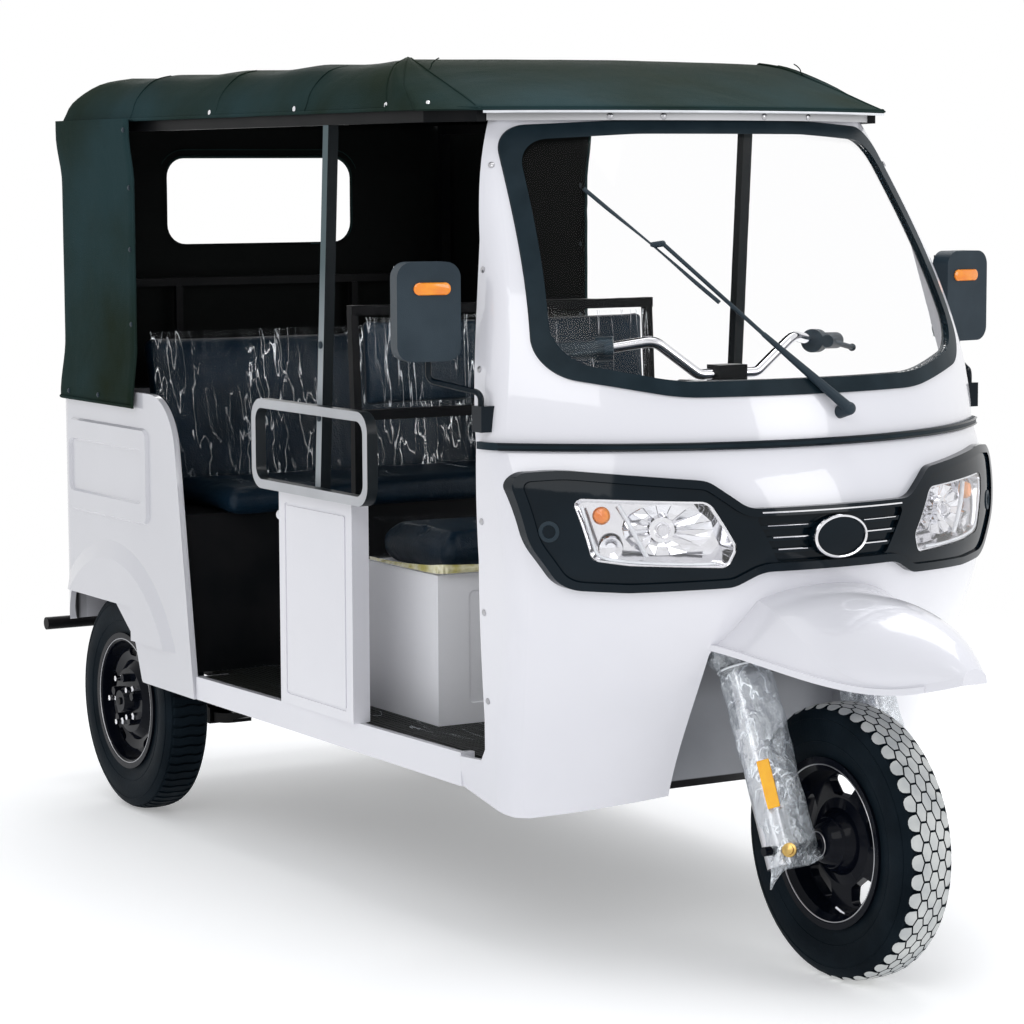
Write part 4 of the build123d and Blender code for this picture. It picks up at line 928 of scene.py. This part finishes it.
def build_tyre(node_name, body, x, y, front):
    """Carcass with its bead, two rings on each wall and the tread; the tops of the front tyre's blocks are
    light grey, a painted sheen.
    """
    carcass = [(-across, radius) for across, radius in reversed(TYRE_SECTION[1:])] + list(TYRE_SECTION)
    carcass = [(across, radius - (TREAD_DEPTH if abs(across) < 0.044 else 0)) for across, radius in carcass]
    inner = [(0.034, 0.156), (0.030, 0.200), (-0.030, 0.200), (-0.034, 0.156)]
    made = Shape()
    made.grid([[wheel_point(x + across, y, radius, turn) for across, radius in carcass + inner]
               for turn in full_turn(72, True)], closed=True)
    for radius, across, thick in ((0.196, 0.0532, 0.0012), (0.240, 0.0538, 0.0010)):
        for side in (-1, 1):
            made.tube([wheel_point(x + side * across, y, radius, turn) for turn in full_turn(64, True)],
                      thick, 5)
    if front:
        build_front_tread(made, x, y)
    else:
        for around in full_turn(REAR_BARS):
            tread_block(made, x, y, REAR_BAR, around, 0.0, 0.005)
    tyre = made.piece(f"{node_name}_tread", "tyre_rubber", body, angle=35)
    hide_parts(node_name)
    if front:
        # light grey on the block tops: painted sheen
        tyre.data.materials.append(MATERIALS["tread_grey"])
        for polygon in tyre.data.polygons:
            if len(polygon.vertices) in (len(SCALE), len(SHOULDER)):
                polygon.material_index = 1


def build_tyres():
    """Front tyre with scales, rear tyres with bars."""
    build_tyre("front_tyre", "front_wheel", 0.0, FRONT_AXLE_Y, True)
    for side, name in ((-1, "right"), (1, "left")):
        build_tyre(f"rear_tyre_{name}", f"rear_wheel_{name}", side * REAR_WHEEL_X, REAR_AXLE_Y, False)


# ---------------------------------------------------------------- seats
SWELL_STEPS = 20
# the cloth simulation's settings
LEATHER = {"quality": 5, "use_pressure": True, "uniform_pressure_force": 4.0, "tension_stiffness": 12,
           "compression_stiffness": 6, "bending_stiffness": 0.4}


def cushion(name, node_name, low, high, voxel, cap, round_off, lean):
    """A stuffed cushion in the room of a CAD solid: a rounded block, swollen by a cloth simulation.

    low and high are its corners before lean tips it back about its low front edge."""
    centre = Vector([(a + b) / 2 for a, b in zip(low, high)])
    block = Shape()
    block.box((0, 0, 0), [b - a for a, b in zip(low, high)])
    made = block.plain(name)
    modify(made, "round", "BEVEL", width=round_off, segments=4)
    modify(made, "net", "REMESH", mode="VOXEL", voxel_size=voxel)
    apply_modifiers(made)
    swell(made, cap)
    modify(made, "smooth", "SUBSURF", levels=1, render_levels=1)
    apply_modifiers(made)
    foot = Vector((0, low[1], low[2]))
    turn = Matrix.Rotation(-lean, 4, "X")
    made.data.transform(Matrix.Translation(foot) @ turn @ Matrix.Translation(centre - foot))
    made.data.materials.clear()
    made.data.materials.append(MATERIALS["seat_leather"])
    for polygon in made.data.polygons:
        polygon.use_smooth = True
    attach(made, "vehicle")
    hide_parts(node_name)


def swell(made, cap):
    """Blow a closed mesh up as cloth under pressure, and let no point move further than the cap."""
    rest = [vertex.co.copy() for vertex in made.data.vertices]
    cloth = modify(made, "cloth", "CLOTH")
    for key, value in LEATHER.items():
        setattr(cloth.settings, key, value)
    cloth.settings.effector_weights.gravity = 0.0
    cloth.collision_settings.use_collision = False
    scene = bpy.context.scene
    for step in range(1, SWELL_STEPS + 1):
        scene.frame_set(step)
    moved = made.evaluated_get(bpy.context.evaluated_depsgraph_get())
    blown = [vertex.co.copy() for vertex in moved.data.vertices]
    made.modifiers.clear()
    for vertex, start, end in zip(made.data.vertices, rest, blown):
        shift = end - start
        if shift.length > cap:
            shift = shift.normalized() * cap
        vertex.co = start + shift
    scene.frame_set(1)


# name, CAD node, half width, front and back, bottom and top, voxel, cap, rounding, lean
CUSHIONS = (
    ("driver_seat", "driver_seat_cushion", 0.372, (0.912, 1.224), (0.712, 0.776), 0.007, 0.016, 0.028, 0.0),
    ("driver_rest", "driver_backrest", 0.366, (1.254, 1.284), (1.036, 1.228), 0.006, 0.008, 0.012, DRIVER_LEAN),
    ("bench_seat", "rear_seat_cushion", 0.458, (1.757, 2.113), (0.762, 0.810), 0.008, 0.010, 0.020, 0.0),
    ("bench_rest", "rear_seat_back", 0.458, (2.137, 2.190), (0.765, 1.165), 0.008, 0.012, 0.020, BENCH_LEAN))


def build_seats():
    """Seats and backrests of the driver and the bench."""
    for name, node_name, half, (front, back), (bottom, top), *settings in CUSHIONS:
        cushion(name, node_name, (-half, FRONT_AXLE_Y + front, bottom), (half, FRONT_AXLE_Y + back, top),
                *settings)


# ---------------------------------------------------------------- front fork and wheel
FORK_X = 0.150
RAKE = math.radians(24.5)
AXIS_FOOT_Y = 0.018
RIM_LINE = 0.1515
REFLECTOR_Z = 0.371
REFLECTOR_SIZE = (0.006, 0.025, 0.094)
REFLECTOR_TURN = math.radians(48)       # from straight ahead towards the outside
TIE_Z, TIE_RADIUS = 0.587, 0.0478
VALVE_TURN = math.radians(205)
HUB_NUTS = 5                            # on each rear hub
LEG_UP = Vector((0, math.sin(RAKE), math.cos(RAKE)))
LEG_AHEAD = Vector((0, -math.cos(RAKE), math.sin(RAKE)))
# height, radius, shift inwards and ahead of the leg's axis, flattening of the foot
WRAP = ((0.640, 0.036, 0.002, 0.0), (0.628, 0.053, 0.004, 0.0), (0.610, 0.056, 0.005, 0.0),
        (0.592, 0.046, 0.008, 0.0), (0.582, 0.047, 0.010, 0.0), (0.565, 0.051, 0.012, 0.0),
        (0.540, 0.052, 0.014, 0.0), (0.500, 0.053, 0.014, 0.0), (0.450, 0.052, 0.014, 0.0),
        (0.400, 0.051, 0.014, 0.0), (0.350, 0.050, 0.015, 0.0), (0.310, 0.049, 0.016, 0.0),
        (0.280, 0.049, 0.018, 0.05), (0.258, 0.049, 0.018, 0.15), (0.242, 0.048, 0.018, 0.7),
        (0.226, 0.054, 0.018, 1.0))


def on_fork(x, z, ahead=0.0):
    """Point on a fork leg's axis at a height, moved ahead square to the leg."""
    y = AXIS_FOOT_Y + (z - TYRE_RADIUS) * math.tan(RAKE)
    return Vector((x, FRONT_AXLE_Y + y - ahead * math.cos(RAKE), z + ahead * math.sin(RAKE)))


def wrap_ring(side, z, radius, shift, flat):
    """One crumpled ring of the film round a fork leg."""
    centre = on_fork(side * (FORK_X - shift), z, shift)
    ring = []
    for turn in full_turn(56):
        across, forward = math.cos(turn), math.sin(turn)
        crumple = noise.noise(Vector((2.2 * across + side, 2.2 * forward, z * 30)))
        fold = abs(noise.noise(Vector((5 * across, 5 * forward + side, z * 75))))
        loose = 1.02 + 0.08 * crumple - 0.07 * fold
        pleat = 0.05 * math.sin(9 * turn + 30 * z) * ease(0.57, 0.60, z)
        tail = 1 + flat * (0.35 * abs(across) ** 3)
        spot = centre + Vector((1, 0, 0)) * radius * (loose + pleat) * across * tail
        spot += LEG_AHEAD * radius * (loose + pleat) * forward * (1 - 0.82 * flat)
        spot -= LEG_UP * 0.030 * flat * abs(across) ** 4 * (1.2 if across * side > 0 else -0.5)
        ring.append(spot)
    return ring


def build_fork_film():
    """Clear film wrapped round both fork legs, gathered over a tie at the top and squeezed to a fish tail."""
    wrap = Shape()
    ties = Shape()
    rings = []
    for low, high in zip(WRAP, WRAP[1:]):
        rings += list(zip(*(spread(a, b, 3)[:-1] for a, b in zip(low, high))))
    rings.append(WRAP[-1])
    for side in (-1, 1):
        wrap.grid([wrap_ring(side, *ring) for ring in rings], closed=True)
        middle = on_fork(side * (FORK_X - 0.010), TIE_Z, 0.010)
        ties.tube([middle + TIE_RADIUS * (Vector((1, 0, 0)) * math.cos(turn) + LEG_AHEAD * math.sin(turn))
                   for turn in full_turn(32, True)], 0.0022, 6)
    wrap.piece("fork_film", "wrap_film", "steering", angle=20)
    ties.piece("fork_ties", "border_white", "steering")


def build_fork_trim():
    """Reflectors on the film, square to its surface, and the axle's nuts."""
    yellow = Shape()
    nuts = Shape()
    for side in (-1, 1):
        out = Vector((side, 0, 0)) * math.sin(REFLECTOR_TURN) + LEG_AHEAD * math.cos(REFLECTOR_TURN)
        out.normalize()
        middle = on_fork(side * (FORK_X - 0.015), REFLECTOR_Z, 0.015) + out * 0.0515
        yellow.box(middle, REFLECTOR_SIZE, Matrix((out, LEG_UP.cross(out), LEG_UP)).transposed())
        nuts.revolve(((0.0, 0.014), (0.006, 0.014), (0.007, 0.010), (0.016, 0.010), (0.017, 0.006),
                      (0.019, 0.0)), Vector((side * 0.163, FRONT_AXLE_Y - 0.036, 0.273)), out, 12)
    yellow.piece("fork_reflectors", "reflector_yellow", "steering", bevel=0.002)
    nuts.piece("axle_nuts", "brass", "steering", angle=30)


def build_front_hub():
    """Glossy dome over the front wheel's bearing, a bright line round its cap that paints the highlight on the
    cap's rim, and the tyre valve.
    """
    hub = Shape()
    centre = Vector((0, FRONT_AXLE_Y, TYRE_RADIUS))
    hub.revolve(((0.010, 0.068), (0.020, 0.066), (0.034, 0.058), (0.050, 0.046), (0.060, 0.040),
                 (0.066, 0.034), (0.068, 0.028), (0.068, 0.012)), centre, (-1, 0, 0), 40)
    hub.revolve(((0.062, 0.024), (0.072, 0.024), (0.076, 0.021), (0.076, 0.012)), centre, (-1, 0, 0), 32)
    hub.piece("front_hub", "wheel_black", "front_wheel", angle=50)
    cap = Shape()
    # bright line round the cap: a painted highlight
    cap.tube([wheel_point(-0.0720, FRONT_AXLE_Y, 0.0243, turn) for turn in full_turn(48, True)], 0.0008, 6)
    cap.piece("front_cap_line", "axle_steel", "front_wheel")
    valve = Shape()
    out = Vector((0, math.sin(VALVE_TURN), math.cos(VALVE_TURN)))
    foot = centre + out * 0.142 + Vector((-0.036, 0, 0))
    valve.tube(smooth_path([foot, foot + Vector((-0.016, 0, 0)) - out * 0.006,
                            foot + Vector((-0.030, 0, 0)) - out * 0.020], 4), 0.0035, 8)
    valve.piece("front_valve", "bar_chrome", "front_wheel")


def build_rim_lines():
    """Thin bright steel line round each rim's edge, a painted highlight, on those of its faces where it can lie
    all round.
    """
    for name, body, x, y in (("front_rim", "front_wheel", 0.0, FRONT_AXLE_Y),
                             ("rear_rim_left", "rear_wheel_left", REAR_WHEEL_X, REAR_AXLE_Y),
                             ("rear_rim_right", "rear_wheel_right", -REAR_WHEEL_X, REAR_AXLE_Y)):
        shine = Shape()
        for side in (-1, 1):
            hits = [cad(name).ray_cast(wheel_point(x + side * 0.4, y, RIM_LINE, turn), Vector((-side, 0, 0)))
                    for turn in full_turn(72, True)]
            if all(hit for hit, *_ in hits):
                shine.tube([at + Vector((side * 0.0006, 0, 0)) for _, at, *_ in hits], 0.0013, 6)
        shine.piece(f"{name}_line", "axle_steel", body)


def build_rear_wheel_trim():
    """Bright nuts on the rear hubs."""
    for side, name in ((-1, "right"), (1, "left")):
        nuts = Shape()
        for turn in full_turn(HUB_NUTS):
            centre = wheel_point(side * (REAR_WHEEL_X + 0.040), REAR_AXLE_Y, 0.056, turn + math.pi / 10)
            nuts.revolve(((0.0, 0.010), (0.014, 0.010), (0.018, 0.007), (0.030, 0.007), (0.032, 0.0)), centre,
                         (side, 0, 0), 6)
        nuts.piece(f"rear_nuts_{name}", "bar_chrome", f"rear_wheel_{name}", angle=30)


# ---------------------------------------------------------------- lamps and grille
GRILLE_BAR_Z = (0.829, 0.852, 0.875)
BADGE_Z, BADGE_HALF_WIDTH, BADGE_HALF_HEIGHT = 0.852, 0.060, 0.039


def build_grille_trim():
    """Bright lines along the grille's bars and over it, and a ring round its blank badge."""
    lines = Shape()
    for z in GRILLE_BAR_Z:
        reach = 0.118 + 0.5 * (z - 0.808)
        for side in (-1, 1):
            lines.tube([front_point("grille", side * x, z + 0.003, 0.0012)[0]
                        for x in spread(0.066, reach, 8)], 0.0013, 6)
    lines.tube([front_point("lamp_mask", x, 0.9035, 0.001)[0] for x in spread(-0.165, 0.165, 24)], 0.0016, 6)
    lines.piece("grille_lines", "bar_chrome")
    ring = Shape()
    middle, _ = front_point("grille", 0, BADGE_Z, 0.001)
    path = [Vector((BADGE_HALF_WIDTH * math.cos(turn), middle.y, BADGE_Z + BADGE_HALF_HEIGHT * math.sin(turn)))
            for turn in full_turn(48, True)]
    ring.tube(path, [0.0026 + 0.0016 * max(0.0, -point.x / BADGE_HALF_WIDTH) for point in path], 8)
    ring.piece("badge_ring", "bar_chrome")


def add_facets(bright, main, outward, side, count=18):
    """Facets that fan out from the main bulb towards the lens's edge, tilted to and fro."""
    right = Vector((0, 0, 1)).cross(outward).normalized()
    up = outward.cross(right).normalized()
    for step in range(count):
        turn, after = 2 * math.pi * step / count, 2 * math.pi * (step + 0.94) / count
        tilt = 0.006 * (1 if step % 2 else -1)
        rows = []
        for radius, sink in ((0.024, -0.018), (0.052, -0.012), (0.078, -0.006)):
            row = []
            for share, angle in ((0, turn), (1, after)):
                wide = 1.25 if math.cos(angle) * side < 0 else 0.95
                row.append(main + outward * (sink + tilt * (0.5 - share))
                           + radius * (right * math.cos(angle) * wide + up * 0.62 * math.sin(angle)))
            rows.append(row)
        bright.grid(rows)


def build_lamps():
    """Inside each lamp: bulbs, a divider, a faceted reflector and a bright border; outside, a sensor disc."""
    bright, bulbs, orange, border, dark = (Shape() for _ in range(5))
    for side in (-1, 1):
        def on_lens(x, z, out):
            return front_point("headlamp_lenses", side * x, z, out)

        main, outward = on_lens(0.345, 0.874, -0.020)
        bulbs.revolve(((-0.012, 0.012), (0.000, 0.012), (0.006, 0.010), (0.010, 0.006), (0.011, 0.0)),
                      main, outward, 24)
        bright.revolve(((-0.016, 0.024), (-0.006, 0.024), (-0.005, 0.016), (-0.014, 0.013)), main, outward, 32)
        add_facets(bright, main, outward, side)
        bright.revolve(((-0.010, 0.024), (-0.002, 0.022), (-0.008, 0.010), (-0.010, 0.0)),
                       *on_lens(0.432, 0.838, -0.016), 24)
        orange.revolve(((-0.012, 0.017), (0.0, 0.017), (0.006, 0.013), (0.009, 0.0)),
                       *on_lens(0.447, 0.903, -0.018), 20)
        # divider, then the border round the lens: sink, thickness and places
        for out, thick, spots in (
                (-0.014, 0.0045, ((0.418, 0.924), (0.404, 0.890), (0.388, 0.855), (0.372, 0.822))),
                (-0.003, 0.0036, ((0.476, 0.920), (0.471, 0.895), (0.460, 0.850), (0.450, 0.828),
                                  (0.420, 0.818), (0.360, 0.812), (0.290, 0.809), (0.250, 0.810)))):
            border.tube(smooth_path([on_lens(x, z, out)[0] for x, z in spots], 4), thick, 8)
        dark.revolve(((-0.004, 0.020), (0.0015, 0.020), (0.002, 0.013), (-0.002, 0.011), (-0.002, 0.0)),
                     *front_point("lamp_mask", side * 0.527, 0.873), 32)
    bright.piece("lamp_facets", "lamp_chrome", smooth=False)
    bulbs.piece("lamp_bulbs", "lens_clear")
    orange.piece("turn_bulbs", "orange_lens")
    border.piece("lamp_borders", "border_white")
    dark.piece("mask_sensors", "dark_plastic")


# ---------------------------------------------------------------- small trim
MOULDING_HALF = 0.578
# middle and size of the left closing strip
STRIP = (0.512, 1.366, 0.812), (0.036, 0.003, 0.375)


def build_bolts():
    """Screw heads on the cab, along the header and down its rear edges, and dark ones on the pillars."""
    heads = Shape()
    profile = ((-0.003, 0.0065), (0.0015, 0.0065), (0.003, 0.0045), (0.0034, 0.0))
    for x in (-0.247, -0.139, 0.099, 0.227):
        heads.revolve(profile, *front_point("cab_header", x, 1.6525), 14)
    for y, z in ((0.526, 1.558), (0.460, 1.358), (0.419, 1.170), (0.396, 1.060), (0.398, 0.880),
                 (0.421, 0.700), (0.452, 0.520)):
        for side in (-1, 1):
            shell = "cab_upper_shell" if z > 1.03 else "cab_lower_shell"
            heads.revolve(profile, *side_point(shell, side, y, z), 14)
    heads.piece("cab_screws", "axle_steel")
    dark = Shape()
    for z in (1.183, 1.028):
        for side in (-1, 1):
            dark.revolve(((-0.003, 0.008), (0.003, 0.008), (0.005, 0.005), (0.0055, 0.0)),
                         *side_point("side_pillars", side, pillar_y(z), z), 14)
    dark.piece("pillar_screws", "dark_plastic")


def pillar_y(z):
    """Distance of the pillar's middle behind the front axle at a height."""
    return 1.155 - 0.055 * (z - 0.856) / (1.643 - 0.856)


def build_mirror_reflectors():
    """Orange stadium-shaped reflectors on the fronts of the mirrors."""
    lens = Shape()
    outline = rounded_rectangle(0.074, 0.024, 0.0118, 6)
    for side in (-1, 1):
        middle, normal = front_point("mirror_housings", side * 0.648, 1.324)
        across = Vector((0, 0, 1)).cross(normal).normalized()
        rows = [[middle + across * u * grow + Vector((0, 0, v * grow)) + normal * out for u, v in outline]
                for out, grow in ((-0.004, 1.0), (0.003, 1.0), (0.0055, 0.86))]
        lens.grid(rows, closed=True, capped=True)
    lens.piece("mirror_reflectors", "orange_lens")


def build_corner_strips():
    """Strips behind the lower part of the joints between the tail panel and the rounded rear corners."""
    strips = Shape()
    strips.box(*STRIP)
    strips.mirrored().piece("corner_strips", "white_paint")


def build_waist_lines():
    """Two thin black lips along the waist moulding."""
    lips = Shape()
    for z in (1.0225, 1.0335):
        for side in (-1, 1):
            lips.tube([front_point("waist_moulding", side * MOULDING_HALF * math.sin(turn), z, 0.0005)[0]
                       for turn in spread(0, math.pi / 2, 25)], 0.0022, 6)
    lips.piece("waist_lips", "gloss_black")


# ---------------------------------------------------------------- films and mats
def leaning(lean, length):
    """Edge of a sheet that goes up a backrest."""
    return Vector((0, math.sin(lean), math.cos(lean))) * length


# name, half width, front, bottom, edge along its other side, columns, rows, ripple, seed, material
FILMS = (
    ("bench_rest_film", 0.455, 2.118, 0.770, leaning(BENCH_LEAN, 0.400), 150, 60, 0.006, 3.0, "film"),
    ("bench_seat_film", 0.455, 1.752, 0.8245, (0, 0.345, 0), 150, 50, 0.005, 5.0, "flat_film"),
    ("driver_rest_film", 0.366, 1.2425, 1.036, leaning(DRIVER_LEAN, 0.196), 120, 40, 0.004, 7.0, "film"),
    ("driver_seat_film", 0.372, 0.905, 0.7945, (0, 0.320, 0), 120, 50, 0.005, 9.0, "flat_film"),
    ("floor_film", 0.468, 0.70, 0.3875, (0, 1.115, 0), 120, 130, 0.006, 11.0, "flat_film"))


def build_films():
    """Loose clear films over rectangles, rippled square to their surface."""
    for name, half, front, bottom, v_axis, columns, levels, ripple, seed, film in FILMS:
        corner = Vector((-half, FRONT_AXLE_Y + front, bottom))
        u_axis, v_axis = Vector((2 * half, 0, 0)), Vector(v_axis)
        out = u_axis.cross(v_axis).normalized()
        sheet = Shape()
        rows = []
        for v in spread(0, 1, levels):
            row = []
            for u in spread(0, 1, columns):
                fold = abs(noise.noise(Vector((u * u_axis.length * 16 + seed, v * v_axis.length * 4, seed))))
                fine = noise.noise(Vector((u * u_axis.length * 38, v * v_axis.length * 11 + seed, 2 * seed)))
                row.append(corner + u_axis * u + v_axis * v + out * ripple * (1.6 * fold + 0.35 * fine))
            rows.append(row)
        sheet.grid(rows)
        sheet.piece(name, film, angle=70)


def build_sill_mats():
    """The floor mat's edges, lapped over the inner half of both sills."""
    mats = Shape()
    sill = cad("side_sills")
    rows = []
    for y in spread(FRONT_AXLE_Y + 0.62, FRONT_AXLE_Y + 1.82, 64):
        top, at, _, _ = sill.ray_cast(Vector((-0.480, y, 0.6)), Vector((0, 0, -1)))
        height = at.z if top else 0.380
        edge, at, _, _ = sill.ray_cast(Vector((-2, y, height - 0.006)), Vector((1, 0, 0)))
        reach = (at.x if edge else -0.508) + 0.014 + 0.462
        row = []
        for share in (0.0, 0.25, 0.5, 0.75, 1.0):
            x = -0.462 + reach * share
            wave = 0.0012 * noise.noise(Vector((x * 60, y * 40, 2)))
            row.append((x, y, height + 0.0022 + wave - (0.0014 if share in (0.0, 1.0) else 0.0)))
        rows.append(row)
    mats.grid(rows)
    mats.mirrored().piece("sill_mats", "floor_mat")


# plan of the film's gathered rim, behind the front axle
HEM_PLAN = ((-0.392, 1.20), (-0.394, 1.10), (-0.394, 1.00), (-0.392, 0.93), (-0.380, 0.903), (-0.34, 0.896),
            (-0.20, 0.894), (0.0, 0.893), (0.20, 0.894), (0.34, 0.896), (0.380, 0.903), (0.392, 0.93),
            (0.394, 1.0))


def build_hems():
    """Gathered yellowish film under the driver seat's rim."""
    plan = smooth_path([(x, FRONT_AXLE_Y + y, 0) for x, y in HEM_PLAN], 16)
    rows = []
    for share in spread(0, 1, 5):
        row = []
        for index, point in enumerate(plan):
            gather = math.sin(index * 0.9) * 0.5 + noise.noise(Vector((index * 0.35, 2 * share, 5)))
            out = (0.003 + 0.003 * gather) * math.sin(math.pi * min(1, share + 0.15))
            near = ease(0.30, 0.0, abs(index / len(plan) - 0.34))
            row.append((point.x * (1 + out), point.y - out, 0.7100 + 0.007 * share + 0.012 * share * near))
        rows.append(row)
    hem = Shape()
    hem.grid(rows)
    hem.piece("seat_hem_film", "yellow_hem", angle=70)


for build in (dress_cad_nodes, build_world, build_floor, build_studio_lamps, build_camera, build_hood,
              build_curtain, build_header_lip, build_studs, build_tyres, build_seats, build_fork_film,
              build_fork_trim, build_front_hub, build_rim_lines, build_rear_wheel_trim, build_grille_trim,
              build_lamps, build_bolts, build_mirror_reflectors, build_corner_strips, build_waist_lines,
              build_films, build_hems, build_sill_mats):
    build()
